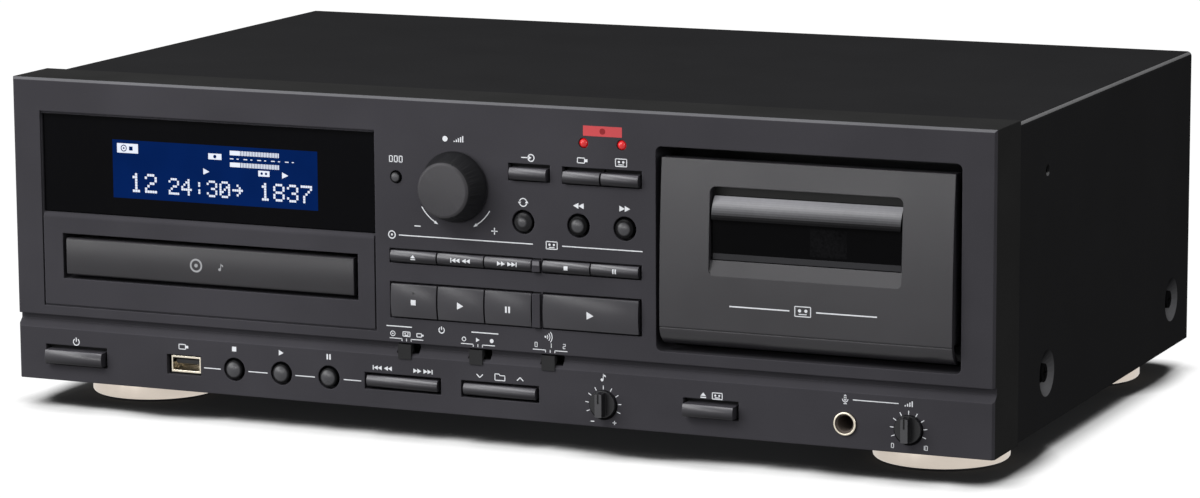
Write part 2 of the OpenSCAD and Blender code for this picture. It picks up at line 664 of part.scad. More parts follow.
// Convex face of the door, moved inwards by t
module door_face(t) intersection() {
    translate([-door_out + door_r, apex_z]) circle(door_r - t, $fn = 360);
    translate([-20, apex_z - 4]) square([door_back + 20, door_top - apex_z + 4]);
}

module door_skin() {
    difference() {
        intersection() {
            door_face(0);
            translate([-20, hinge_z]) square([60, door_top - hinge_z]);
        }
        door_face(2.6);
    }
    // Lower lip, round the hinge axis
    difference() {
        translate([hinge_y, hinge_z]) circle(lip_r - 0.02);
        translate([hinge_y, hinge_z]) circle(lip_r - 2.6);
        translate([hinge_y - 20, hinge_z]) square([40, 20]);
        translate([hinge_y - 2, hinge_z - 20]) square([40, 40]);
    }
}

module cassette_door() color("#4a494c") place() difference() {
    union() {
        run_x_at(bay_cx, door_w) door_skin();
        // Side walls, top wall and two ribs behind the skin
        for (s = [-1, 1]) {
            run_x_at(bay_cx + s * (door_w / 2 - 1.1), 2.2) intersection() {
                door_face(0.5);
                translate([-20, hinge_z + 0.2]) square([20 + door_back, 200]);
            }
            run_x_at(bay_cx + s * (holder_in + holder_out) / 2, holder_out - holder_in) intersection() {
                door_face(0.5);
                translate([-20, hinge_z + 4]) square([20 + door_back, door_top - hinge_z - 8]);
            }
        }
        run_x_at(bay_cx, door_w) intersection() {
            door_face(0.5);
            translate([-20, door_top - 2.2]) square([20 + door_back, 2.2]);
        }
        // Block behind the skin that the window and its sill are cut from
        intersection() {
            run_y(-5, 9) round_rect(span(bay_cx, pane_w + 9), [pane_z - 4, pane_z + pane_h + 4], 3);
            run_x_at(bay_cx, door_w) door_face(0.8);
        }
    }
    // Window with a sloped sill
    intersection() {
        run_y(-20, 60) round_rect(span(bay_cx, pane_w), [pane_z, pane_z + pane_h], 2.5);
        run_x_at(bay_cx, pane_w + 2) polygon([[-20, pane_z], [0.2 - door_out, pane_z], [pane_y, pane_z + sill_h],
            [40, pane_z + sill_h], [40, pane_z + 60], [-20, pane_z + 60]]);
    }
    // Crease where the lower lip begins
    run_x_at(bay_cx, door_w + 2) translate([hinge_y - lip_r, hinge_z - 0.8]) rotate(45) square(0.6, center = true);
}

module pane_section() {
    // Flat lower part, then a roll that stands forward of it and turns back towards the top
    translate([pane_y, pane_z + sill_h + 0.2]) square([1.8, roll_z - pane_z - sill_h + 0.8]);
    translate([pane_y - 0.6, roll_z]) square([2.4, 2]);
    translate([pane_y, pane_z + sill_h + 0.2]) square([5 - pane_y, 1.8]);
    intersection() {
        difference() {
            translate([roll_y + roll_r, roll_z]) circle(roll_r, $fn = 240);
            translate([roll_y + roll_r, roll_z]) circle(roll_r - 1.8, $fn = 240);
        }
        translate([-5, roll_z]) square([10.4, roll_h]);
    }
}

module door_pane() color("#17171a") place() {
    run_x_at(bay_cx, pane_w - 2 * pane_gap) pane_section();
    // Walls at the ends, and the rim behind the door's window
    for (s = [-1, 1]) {
        box(span(bay_cx + s * (pane_w / 2 - pane_gap - 0.8), 1.6), [pane_y + 0.6, 5.4],
            [pane_z + sill_h + 0.4, roll_z + 5]);
        box(span(bay_cx + s * (pane_w / 2 + 0.9), 3.8), [4, 5.4], [pane_z - 3, pane_z + pane_h + 3]);
    }
    box(span(bay_cx, pane_w + 5.6), [4, 5.4], [pane_z - 3, pane_z + sill_h + 2]);
    box(span(bay_cx, pane_w + 5.6), [4, 5.4], [roll_z + roll_h - 1, pane_z + pane_h + 3]);
}

// Where the holder's side channel stands, left or right
function side_span(s) = span(bay_cx + s * (holder_in + holder_out) / 2, holder_out - holder_in);

module cassette_holder() color("#262628") place() {
    for (s = [-1, 1]) {
        // Channel for the edge of the cassette
        box(side_span(s), [door_back, 28], [hinge_z + 4, door_top - 5]);
        box(span(bay_cx + s * (holder_in - 1), 4.4), [pocket_y - 1.8, pocket_y - 0.2], [pocket_z, door_top - 9]);
        box(span(bay_cx + s * (holder_in - 1), 4.4), [26.2, 28], [pocket_z, door_top - 9]);
        box(span(bay_cx + s * (holder_in - 4), 9), [pocket_y - 1.8, 28], [pocket_z - 2.2, pocket_z - 0.4]);
        // Arm and hinge pin
        box(side_span(s), [hinge_y - 3, 10], [hinge_z - 3, hinge_z + 3.8]);
        box(side_span(s), [door_back + 0.2, 10], [hinge_z, hinge_z + 5]);
        translate([bay_cx + s * holder_in, hinge_y, hinge_z]) rotate([0, s * 90, 0]) cylinder(r = 2, h = 7);
    }
    box(span(bay_cx, 2 * holder_in + 2), [pocket_y - 4.4, pocket_y - 1.8], [pocket_z - 2.2, pocket_z + 3]);
}

module transport_plate() color("#9a9c9f") place() {
    difference() {
        union() {
            box([bay_x - 8.5, bay_x + bay_w + 8.6], [plate_y, plate_y + 1.6], [bay_z - 2, bay_top - 1]);
            // Ears that carry the door's pins
            for (s = [-1, 1]) {
                box(span(bay_cx + s * (holder_out + 2), 3), [hinge_y, plate_y + 0.5], [hinge_z - 3.6, hinge_z + 3.6]);
                translate([bay_cx + s * (holder_out + 2) - 1.5, hinge_y, hinge_z]) rotate([0, 90, 0])
                    cylinder(r = 4, h = 3);
            }
            for (s = [-1, 1]) rod_y([bay_cx + s * hub_pitch / 2, hub_z], 21.3, 1.5, plate_y - 20.3);
            for (s = [-1, 1]) rod_y([bay_cx + s * hub_pitch / 2, hub_z], plate_y - 1.2, 4, 2);
            rod_y(capstan_at, plate_y - 4, 4, 8);
            // Motor
            rod_y([bay_cx - 34, hub_z - 6], plate_y + 1, 14, 26);
        }
        for (s = [-1, 1]) translate([bay_cx, hinge_y, hinge_z])
            rotate([0, 90, 0]) cylinder(r = 2 + fit, h = 130, center = true);
        rod_y(capstan_at, plate_y - 10, 1.3 + fit, 30);
        // Slots that guide the head bridge
        for (u = [-18, 10]) box(span(bay_cx + u, 4), [plate_y - 1, plate_y + 3], [pocket_z - 13, pocket_z + 1.5]);
    }
}

module spindle(at) difference() {
    union() {
        rod_y(at, plate_y - 4.6, 11, 3);
        rod_y(at, 20.6, 3.2, plate_y - 24);
        rod_y(at, 19.4, 2.2, 1.2, 3.2);
        for (a = [0, 120, 240])
            translate([at[0], 20.8, at[1]]) rotate([0, a, 0]) translate([2.6, 0, -0.6]) cube([1.9, 6.4, 1.2]);
    }
    rod_y(at, 20.9, 1.5 + fit, 20);
}

module supply_spindle() color("#d9d9d6") place() spindle([bay_cx - hub_pitch / 2, hub_z]);

module takeup_spindle() color("#d9d9d6") place() spindle([bay_cx + hub_pitch / 2, hub_z]);

module capstan_flywheel() color("#bdbfc2") place() {
    rod_y(capstan_at, 18.4, 1.3, plate_y - 10);
    rod_y(capstan_at, plate_y + 4.4, 24, 7);
    rod_y(capstan_at, plate_y, 1.3, 8);
}

module head_bridge() color("#83868a") place() {
    box(span(bay_cx + 2, 62), [plate_y - 3.4, plate_y - 0.4], [pocket_z - 9.2, pocket_z - 1]);
    for (u = [-18, 10]) box(span(bay_cx + u, 3), [plate_y - 1, plate_y + 1.6], [pocket_z - 8, pocket_z - 4]);
    box(span(bay_cx, 13), [17, plate_y - 3], [pocket_z - 8, pocket_z - 0.8]);
    box(span(bay_cx - 16, 9), [18, plate_y - 3], [pocket_z - 8, pocket_z - 1.2]);
    rod_y(roller_at, 18.2, 1.4, plate_y - 20);
}

module pinch_roller() color("#1a1a1a") place() difference() {
    rod_y(roller_at, 19, 5.6, 8);
    rod_y(roller_at, 10, 1.4 + fit, 30);
}

// Keys, knobs and slides

// Section of a cap: soft front edges, and a crown of the given radius
module crowned(y, z, h, soft, crown) intersection() {
    soft_front(y[0], y[1], z - h / 2, h, soft);
    union() {
        translate([y[0] + crown, z]) circle(crown, $fn = 240);
        translate([0, z - h / 2]) square([y[1], h]);
    }
}

// Cap with a crowned front, a lip behind the panel and a stem
module bar_key(at, w, h, out, lip_x, lip_z, travel, crown) {
    run_x_at(at[0], w) crowned([-out, flange_y + 0.5], at[1], h, min(1.2, out * 0.7), crown);
    box(span(at[0], w + 2 * lip_x), [flange_y, flange_y + 1.2], span(at[1], h + 2 * lip_z));
    rod_y(at, flange_y + 1, 2, plunger_y - travel - 0.3 - flange_y - 1);
}

module round_key(at, d, out, dome) {
    intersection() {
        rod_y(at, -out, d / 2, out + flange_y + 0.5);
        translate([at[0], dome - out, at[1]]) sphere(r = dome, $fn = 96);
    }
    rod_y(at, 0.5, d / 2, flange_y);
    rod_y(at, flange_y, d / 2 + ring_gap + 0.9, 1.2);
    rod_y(at, flange_y + 1, min(2, d / 2), stem_y - flange_y - 1);
}

module row_key(i, z, h) bar_key(row_at(i, z), key_w, h, key_out, 0, 1.6, key_travel, h > 8 ? 2.2 * h : 0.7 * h);

module rocker(at) {
    run_x_at(at[0], 32) crowned([-1.4, 4.4], at[1], 4.6, 1, 3.1);
    box(span(at[0], 4.4), [4, 8], span(at[1], 4.6));
    translate([at[0], 6.2, at[1] - 7.6]) cylinder(r = 1, h = 15.2);
    for (u = [-11, 11]) rod_y(at + [u, 0], 4, 1.6, plunger_y - 1 - 4);
}

module dial(at) difference() {
    union() {
        rod_y(at, -1.6, dial_d / 2 - 0.3, 1.3, dial_d / 2);
        intersection() {
            rod_y(at, -dial_out, dial_d / 2 - 0.9, dial_out - 1, dial_d / 2 - 0.5);
            box(span(at[0], 3), [-20, 5], span(at[1], 30));
        }
        rod_y(at, -0.4, 2, board_y - 2);
    }
    box(span(at[0], 0.8), [-dial_out - 1, -dial_out + 0.4], [at[1] + 0.8, at[1] + 20]);
}

module slider(x) {
    at = x - slide_travel / 2;
    difference() {
        box(span(at, 3.4), [0.2, groove_d + 3], span(slider_z, 3.4));
        for (u = [-0.9, 0, 0.9]) box(span(at + u, 0.35), [-1, 0.6], span(slider_z, 5));
    }
    box(span(at, 5), [groove_d + 2.6, groove_d + 3.6], span(slider_z, 5));
    box(span(at, 2), [groove_d + 3, groove_d + 4.7], span(slider_z, 2));
}

module level_knob() color("#38373a") place() {
    translate([level_at[0], 0, level_at[1]]) rotate([90, 0, 0]) rotate_extrude() polygon([[0, 0.5],
        [knob_d / 2 - 0.8, 0.5], [knob_d / 2, 1.3], [knob_face_d / 2 + 0.9, knob_out - 0.7],
        [knob_face_d / 2, knob_out], [0, knob_out - 0.5]]);
    rod_y(level_at, -2, 3, board_y);
}

module pitch_dial() color("#38373a") place() dial(pitch_at);
module microphone_dial() color("#38373a") place() dial(mic_at);
module input_slider() color("#2c2c2e") place() slider(slider_xs[0]);
module sync_slider() color("#2c2c2e") place() slider(slider_xs[1]);
module timer_slider() color("#2c2c2e") place() slider(slider_xs[2]);
module power_key() color("#403f42") place() bar_key(power_at - key_drop, 27.4, 6, 3.4, 1.9, 2.5, 2, 7);
module counter_key() color("#403f42") place() round_key(counter_at, 4.2, 1.2, 6);
module source_key() color("#403f42") place() bar_key(source_at - key_drop, 16.2, 4.8, key_out + 0.6, 1.7, 2.1, key_travel, 3.4);
module memory_record_key() color("#403f42") place()
    bar_key(memory_rec_at - key_drop, 16, 4.8, key_out + 0.6, 0, 2.1, key_travel, 3.4);
module tape_record_key() color("#403f42") place()
    bar_key(tape_rec_at - key_drop, 16, 4.8, key_out + 0.6, 0, 2.1, key_travel, 3.4);
module repeat_key() color("#403f42") place() round_key(repeat_at, round_d, 1.5, 7);
module rewind_key() color("#403f42") place() round_key(rewind_at, round_d, 1.6, 8);
module forward_key() color("#403f42") place() round_key(forward_at, round_d, 1.6, 8);
module disc_open_key() color("#403f42") place() row_key(0, thin_z, thin_h);
module disc_back_key() color("#403f42") place() row_key(1, thin_z, thin_h);
module disc_next_key() color("#403f42") place() row_key(2, thin_z, thin_h);
module tape_stop_key() color("#403f42") place() row_key(3, thin_z, thin_h);
module tape_pause_key() color("#403f42") place() row_key(4, thin_z, thin_h);
module disc_stop_key() color("#403f42") place() row_key(0, tall_z, tall_h);
module disc_play_key() color("#403f42") place() row_key(1, tall_z, tall_h);
module disc_pause_key() color("#403f42") place() row_key(2, tall_z, tall_h);
module tape_play_key() color("#403f42") place()
    bar_key(play_at, 2 * key_w + key_gap, tall_h, key_out, 0, 1.6, key_travel, 2.2 * tall_h);
module memory_stop_key() color("#403f42") place() round_key([memory_xs[0], strip_z], round_d, 1.6, 8);
module memory_play_key() color("#403f42") place() round_key([memory_xs[1], strip_z], round_d, 1.6, 8);
module memory_pause_key() color("#403f42") place() round_key([memory_xs[2], strip_z], round_d, 1.6, 8);
module skip_rocker() color("#403f42") place() rocker(skip_at);
module folder_rocker() color("#403f42") place() rocker(folder_at);
module eject_key() color("#403f42") place() bar_key(eject_at - key_drop, 21.6, 5.2, 4, 1.7, 2.4, 2, 5.4);

front_panel();
top_cover();
bottom_chassis();
rear_panel();
feet();
foot_pads();
cabinet_screws();
display_window();
display_module();
control_board();
record_lamps();
memory_port();
microphone_jack();
phono_jacks();
mains_inlet();
main_board();
disc_loader();
disc_tray();
tray_bar();
tray_pinion();
disc_turntable();
optical_pickup();
cassette_door();
door_pane();
cassette_holder();
transport_plate();
supply_spindle();
takeup_spindle();
capstan_flywheel();
head_bridge();
pinch_roller();
level_knob();
pitch_dial();
microphone_dial();
input_slider();
sync_slider();
timer_slider();
power_key();
counter_key();
source_key();
memory_record_key();
tape_record_key();
repeat_key();
rewind_key();
forward_key();
disc_open_key();
disc_back_key();
disc_next_key();
tape_stop_key();
tape_pause_key();
disc_stop_key();
disc_play_key();
disc_pause_key();
tape_play_key();
memory_stop_key();
memory_play_key();
memory_pause_key();
skip_rocker();
folder_rocker();
eject_key();
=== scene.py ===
"""Disc player and cassette deck in one cabinet: finishes, printing, light and camera round the solids."""

import json
import math

import bmesh
import bpy
from mathutils import Matrix, Vector
from mathutils.bvhtree import BVHTree

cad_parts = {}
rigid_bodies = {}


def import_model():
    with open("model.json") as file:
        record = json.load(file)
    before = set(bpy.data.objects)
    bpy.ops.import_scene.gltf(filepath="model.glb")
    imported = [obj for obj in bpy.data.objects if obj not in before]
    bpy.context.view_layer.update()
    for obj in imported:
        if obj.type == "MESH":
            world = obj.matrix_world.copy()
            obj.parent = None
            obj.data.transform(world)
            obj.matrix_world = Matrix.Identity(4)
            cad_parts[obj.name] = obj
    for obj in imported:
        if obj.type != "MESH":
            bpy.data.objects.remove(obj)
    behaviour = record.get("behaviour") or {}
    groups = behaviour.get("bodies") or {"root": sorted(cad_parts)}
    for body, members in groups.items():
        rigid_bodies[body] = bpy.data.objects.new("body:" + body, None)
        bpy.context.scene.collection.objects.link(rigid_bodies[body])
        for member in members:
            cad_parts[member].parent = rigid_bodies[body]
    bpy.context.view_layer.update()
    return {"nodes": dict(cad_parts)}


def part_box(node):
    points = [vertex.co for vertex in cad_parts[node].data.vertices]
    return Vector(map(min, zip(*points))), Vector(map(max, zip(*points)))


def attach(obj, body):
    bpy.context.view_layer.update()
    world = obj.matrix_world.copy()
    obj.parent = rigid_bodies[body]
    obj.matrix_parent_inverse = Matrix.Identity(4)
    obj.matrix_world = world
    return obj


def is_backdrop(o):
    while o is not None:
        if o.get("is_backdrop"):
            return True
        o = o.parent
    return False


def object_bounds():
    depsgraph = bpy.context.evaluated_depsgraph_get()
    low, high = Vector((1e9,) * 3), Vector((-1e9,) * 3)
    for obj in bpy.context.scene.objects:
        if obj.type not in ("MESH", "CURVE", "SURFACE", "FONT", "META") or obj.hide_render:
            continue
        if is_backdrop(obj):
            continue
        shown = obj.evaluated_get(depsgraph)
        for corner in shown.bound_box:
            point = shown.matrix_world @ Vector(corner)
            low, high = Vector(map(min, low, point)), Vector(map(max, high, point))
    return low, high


for old in list(bpy.data.objects):
    bpy.data.objects.remove(old)

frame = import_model()
nodes = frame["nodes"]

MM = 0.001
# The panel frame: x to the right, y inwards from the front face, z up from the panel's lower edge
FACE_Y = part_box("tray_bar")[0].y + 0.5 * MM
FACE_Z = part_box("front_panel")[0].z


def at(x, y, z):
    return Vector((x * MM, FACE_Y + y * MM, FACE_Z + z * MM))


def linear(r, g, b):
    def one(c):
        c /= 255.0
        return c / 12.92 if c <= 0.04045 else ((c + 0.055) / 1.055) ** 2.4

    return (one(r), one(g), one(b), 1.0)


# Materials

NOISE_SPAN = (0.3, 0.7)  # where most of a noise's values lie
EDGE_HIGHLIGHT_SPAN = (0.99, 0.86)  # agreement of the face's and the rounded edge's normals, from no painted highlight to full
RING_BLUR = 0.06
FOOT_TILT = 1.2


def new_material(name):
    mat = bpy.data.materials.new(name)
    mat.use_nodes = True
    tree = mat.node_tree
    shader = tree.nodes["Principled BSDF"]
    return mat, tree, shader


def add(tree, kind, **values):
    node = tree.nodes.new(kind)
    for key, value in values.items():
        setattr(node, key, value)
    return node


def noise(tree, scale, detail=2.0, stretch=(1.0, 1.0, 1.0)):
    coords = add(tree, "ShaderNodeTexCoord")
    mapping = add(tree, "ShaderNodeMapping")
    mapping.inputs["Scale"].default_value = stretch
    tex = add(tree, "ShaderNodeTexNoise")
    tex.inputs["Scale"].default_value = scale
    tex.inputs["Detail"].default_value = detail
    tree.links.new(coords.outputs["Object"], mapping.inputs["Vector"])
    tree.links.new(mapping.outputs["Vector"], tex.inputs["Vector"])
    return tex


def ramp(tree, source, low, high, span=NOISE_SPAN):
    node = add(tree, "ShaderNodeValToRGB")
    node.color_ramp.elements[0].position = span[0]
    node.color_ramp.elements[1].position = span[1]
    node.color_ramp.elements[0].color = low
    node.color_ramp.elements[1].color = high
    tree.links.new(source, node.inputs["Fac"])
    return node


def map_range(tree, source, span, levels):
    node = add(tree, "ShaderNodeMapRange")
    node.inputs["From Min"].default_value = span[0]
    node.inputs["From Max"].default_value = span[1]
    node.inputs["To Min"].default_value = levels[0]
    node.inputs["To Max"].default_value = levels[1]
    tree.links.new(source, node.inputs["Value"])
    return node.outputs["Result"]


def scaled(tree, coloured, level):
    node = add(tree, "ShaderNodeVectorMath", operation="SCALE")
    tree.links.new(coloured, node.inputs[0])
    tree.links.new(level, node.inputs["Scale"])
    return node.outputs["Vector"]


def math_node(tree, operation, one, other, clamp=False):
    """A sum or product of an output with another output or a plain number."""
    node = add(tree, "ShaderNodeMath", operation=operation, use_clamp=clamp)
    tree.links.new(one, node.inputs[0])
    if isinstance(other, float):
        node.inputs[1].default_value = other
    else:
        tree.links.new(other, node.inputs[1])
    return node.outputs[0]


def tint(colour, factor):
    return (colour[0] * factor, colour[1] * factor, colour[2] * factor, 1.0)


def face_turn(tree):
    """Node for the dot product of a face's own normal with what is set on its second input."""
    shape = add(tree, "ShaderNodeNewGeometry")
    turn = add(tree, "ShaderNodeVectorMath", operation="DOT_PRODUCT")
    tree.links.new(shape.outputs["True Normal"], turn.inputs[0])
    return turn


def painted_edge_light(tree, coloured, soft_normal, edge_highlight):
    """Painted edge highlight: paler colour where the rounded edge turns away from the flat face."""
    turn = face_turn(tree)
    tree.links.new(soft_normal, turn.inputs[1])
    return scaled(tree, coloured, map_range(tree, turn.outputs["Value"], EDGE_HIGHLIGHT_SPAN, (1.0, 1.0 + edge_highlight)))


def painted_lean_shade(tree, coloured, lean, span, levels):
    """Painted light and shade: colour level that follows how far a face leans towards a direction."""
    turn = face_turn(tree)
    turn.inputs[1].default_value = lean
    level = map_range(tree, turn.outputs["Value"], span, levels)
    return scaled(tree, coloured, level), level


def painted_ring_shade(tree, coloured, inner, dark):
    """Painted shade: dark outer ring on a round key; inner is where it starts, as a share of the piece's half
    width.
    """
    coords = add(tree, "ShaderNodeTexCoord")
    flat = add(tree, "ShaderNodeVectorMath", operation="MULTIPLY_ADD")
    flat.inputs[1].default_value = (2, 0, 2)
    flat.inputs[2].default_value = (-1, 0, -1)
    tree.links.new(coords.outputs["Generated"], flat.inputs[0])
    reach = add(tree, "ShaderNodeVectorMath", operation="LENGTH")
    tree.links.new(flat.outputs["Vector"], reach.inputs[0])
    level = map_range(tree, reach.outputs["Value"], (inner - RING_BLUR, inner + RING_BLUR), (1.0, dark))
    return scaled(tree, coloured, level), level


def crowned(tree, normal, tilt):
    """Normal that leans up at a piece's top and a little more down at its foot, as on a rounded front."""
    coords = add(tree, "ShaderNodeTexCoord")
    parts = add(tree, "ShaderNodeSeparateXYZ")
    tree.links.new(coords.outputs["Generated"], parts.inputs[0])
    lift = add(tree, "ShaderNodeCombineXYZ")
    rise = map_range(tree, parts.outputs["Z"], (0.0, 1.0), (-FOOT_TILT * tilt, tilt))
    tree.links.new(rise, lift.inputs["Z"])
    both = add(tree, "ShaderNodeVectorMath", operation="ADD")
    tree.links.new(normal, both.inputs[0])
    tree.links.new(lift.outputs["Vector"], both.inputs[1])
    unit = add(tree, "ShaderNodeVectorMath", operation="NORMALIZE")
    tree.links.new(both.outputs["Vector"], unit.inputs[0])
    return unit.outputs["Vector"]


def finish(name, colour, rough, metal=0.0, spec=0.5, grain=2200.0, bump=0.05, vary=0.08, rough_vary=0.04,
           stretch=(1.0, 1.0, 1.0), depth=0.00004, coat=0.0, coat_rough=0.05, cloud=26.0, edge=0.0, edge_highlight=0.0,
           lean=None, span=(-0.5, 0.5), levels=(1.0, 1.0), ring=None, crown=0.0):
    """A moulded, painted or turned surface: fine grain in the bump, slow variation in colour and gloss, and
    where asked painted edge highlights and painted light and shade.
    """
    mat, tree, shader = new_material(name)
    fine = noise(tree, grain, 3.0, stretch)
    slow = noise(tree, cloud, 3.0)
    shade = ramp(tree, slow.outputs["Fac"], tint(colour, 1 - vary), tint(colour, 1 + vary))
    speck = ramp(tree, fine.outputs["Fac"], (1 - vary, 1 - vary, 1 - vary, 1), (1, 1, 1, 1), (0.25, 0.6))
    both = add(tree, "ShaderNodeMix", data_type="RGBA", blend_type="MULTIPLY")
    both.inputs[0].default_value = 1.0
    tree.links.new(shade.outputs["Color"], both.inputs[6])
    tree.links.new(speck.outputs["Color"], both.inputs[7])
    coloured = both.outputs[2]
    glosses = (max(0.02, rough - rough_vary), rough + rough_vary)
    tree.links.new(map_range(tree, slow.outputs["Fac"], NOISE_SPAN, glosses), shader.inputs["Roughness"])
    relief = add(tree, "ShaderNodeBump")
    relief.inputs["Strength"].default_value = bump
    relief.inputs["Distance"].default_value = depth
    tree.links.new(fine.outputs["Fac"], relief.inputs["Height"])
    tree.links.new(relief.outputs["Normal"], shader.inputs["Normal"])
    if edge > 0:
        # Moulded edges, rounded in the shading
        soft = add(tree, "ShaderNodeBevel", samples=4)
        soft.inputs["Radius"].default_value = edge * MM
        normal = crowned(tree, soft.outputs["Normal"], crown) if crown > 0 else soft.outputs["Normal"]
        tree.links.new(normal, relief.inputs["Normal"])
        # Painted highlight along the rounded edges
        if edge_highlight > 0:
            coloured = painted_edge_light(tree, coloured, soft.outputs["Normal"], edge_highlight)
    shader.inputs["Specular IOR Level"].default_value = spec
    # Painted light and shade: the colour, and the specular level with it, follow a face's lean or a ring
    # round the piece's middle
    if lean or ring:
        if lean:
            coloured, level = painted_lean_shade(tree, coloured, lean, span, levels)
        else:
            coloured, level = painted_ring_shade(tree, coloured, *ring)
        tree.links.new(math_node(tree, "MULTIPLY", level, spec), shader.inputs["Specular IOR Level"])
    tree.links.new(coloured, shader.inputs["Base Color"])
    shader.inputs["Metallic"].default_value = metal
    shader.inputs["Coat Weight"].default_value = coat
    shader.inputs["Coat Roughness"].default_value = coat_rough
    return mat


def glow(name, colour, strength, base=(0.01, 0.01, 0.01, 1.0), rough=0.15, spec=0.2, vary=0.06):
    """A lit surface: the light varies a little over it, as a backlight does."""
    mat, tree, shader = new_material(name)
    slow = noise(tree, 60.0, 2.0)
    light = ramp(tree, slow.outputs["Fac"], tint(colour, 1 - vary), tint(colour, 1 + vary))
    tree.links.new(light.outputs["Color"], shader.inputs["Emission Color"])
    shader.inputs["Emission Strength"].default_value = strength
    shader.inputs["Base Color"].default_value = base
    shader.inputs["Roughness"].default_value = rough
    shader.inputs["Specular IOR Level"].default_value = spec
    return mat


panel_finish = finish("moulded charcoal", linear(60, 59, 63), 0.55, spec=0.0, grain=2600, bump=0.10, edge=0.6,
                      edge_highlight=0.5)
# The panel's top and returns: a darker copy of the panel colour, painted shade
return_shade_finish = finish("return painted shade", linear(43, 43, 43), 0.6, spec=0.0, grain=2600, bump=0.10, edge=0.6,
                       edge_highlight=0.8)
# Pale bevel along the panel's top: painted highlight
bevel_highlight_finish = finish("bevel painted highlight", linear(96, 96, 99), 0.5, spec=0.0, grain=2600, bump=0.05)
bar_finish = finish("tray charcoal", linear(37, 36, 39), 0.42, spec=0.3, grain=2800, bump=0.06, edge=0.5,
                    edge_highlight=0.5, crown=0.24)
# Keys left out of the table: paler at their tops and darker lower down by a face's lean, painted light and
# shade
key_finish = finish("key charcoal", linear(51, 50, 54), 0.32, spec=0.3, grain=3000, bump=0.05,
                    lean=(0.0, 0.0, 1.0), span=(-0.3, 0.45), levels=(0.5, 1.8))
tall_finish = finish("tall key charcoal", linear(50, 49, 53), 0.32, spec=0.3, grain=3000, bump=0.05)
divider_highlight_finish = finish("divider painted highlight", linear(110, 109, 113), 0.4, spec=0.1, grain=3000, bump=0.05)


# Round keys: painted shade in a dark outer ring round a paler domed middle
def round_key_finish(name, ring):
    return finish(name, linear(56, 56, 59), 0.28, spec=0.35, grain=3000, bump=0.02, ring=ring)


round_finish = round_key_finish("dome charcoal", (0.43, 0.12))
strip_round_finish = round_key_finish("strip dome charcoal", (0.52, 0.12))
dished_finish = round_key_finish("dished charcoal", (0.3, 0.3))
pin_finish = round_key_finish("pin charcoal", (0.4, 0.12))
door_finish = finish("door charcoal", linear(45, 44, 47), 0.32, spec=0.28, grain=2800, bump=0.06, edge=0.5,
                     edge_highlight=0.3)
knob_finish = finish("knob charcoal", linear(50, 49, 52), 0.46, spec=0.25, grain=2600, bump=0.08)
dial_front_highlight = finish("dial bar front painted highlight", linear(72, 72, 74), 0.4, spec=0.1, grain=2600, bump=0.05)
gap_finish = finish("shaded gap", linear(20, 20, 21), 0.6, spec=0.0, grain=2600, bump=0.05)
throat_finish = finish("socket throat", linear(96, 88, 82), 0.6, spec=0.0, grain=2000, bump=0.05)
dial_finish = finish("dial black", linear(26, 26, 28), 0.36, spec=0.25, grain=2600, bump=0.05)
slider_finish = finish("slider black", linear(42, 42, 43), 0.5, spec=0.05, grain=2400, bump=0.05)
cover_finish = finish("black sheet paint", linear(37, 37, 38), 0.75, spec=0.0, grain=1500, bump=0.2,
                      vary=0.04, edge=0.5, edge_highlight=1.0)
# Dish slopes: lighter where they face up and to the front, painted light and shade
dish_shade_finish = finish("pressed dish", linear(39, 39, 40), 0.75, spec=0.0, grain=1500, bump=0.2, vary=0.04,
                     lean=(0.0, -0.6, 0.8), levels=(0.3, 6.0))
# Bent upper edges of the cover: painted highlight
fold_highlight_finish = finish("bent edge painted highlight", linear(112, 112, 113), 0.6, spec=0.0, grain=1500, bump=0.2, vary=0.04)
rear_finish = finish("rear sheet paint", linear(38, 38, 39), 0.7, spec=0.01, grain=1500, bump=0.2, vary=0.05)
steel_finish = finish("zinc sheet", linear(150, 152, 155), 0.42, metal=1.0, grain=60, bump=0.03, vary=0.16,
                      rough_vary=0.08)
plate_finish = finish("brushed plate", linear(164, 166, 168), 0.34, metal=1.0, grain=260, bump=0.1,
                      stretch=(1.0, 1.0, 14.0), vary=0.08)
black_plate_finish = finish("black oxide plate", linear(26, 26, 28), 0.55, spec=0.2, grain=900, bump=0.08,
                            vary=0.1)
bright_finish = finish("ground steel", linear(205, 206, 208), 0.2, metal=1.0, grain=300, bump=0.04,
                       stretch=(1.0, 12.0, 1.0), vary=0.05)
nickel_finish = finish("nickel plate", linear(206, 198, 182), 0.28, metal=1.0, grain=1500, bump=0.02,
                       vary=0.04)
gold_finish = finish("gold plate", linear(224, 188, 110), 0.22, metal=1.0, grain=1500, bump=0.02, vary=0.05)
foot_finish = finish("champagne foot", linear(208, 197, 185), 0.34, metal=1.0, grain=420, bump=0.05,
                     stretch=(1.0, 1.0, 18.0), vary=0.05)
pad_finish = finish("foot felt", linear(30, 30, 31), 0.9, spec=0.1, grain=1400, bump=0.4, vary=0.2)
screw_finish = finish("black screw", linear(18, 18, 19), 0.42, spec=0.0, grain=900, bump=0.05)
window_finish = finish("window gloss", linear(8, 8, 10), 0.05, spec=0.025, grain=500, bump=0.0,
                       rough_vary=0.01)
pane_flat_finish = finish("pane smoke", linear(7, 7, 8), 0.08, spec=0.02, grain=500, bump=0.0,
                          rough_vary=0.01)
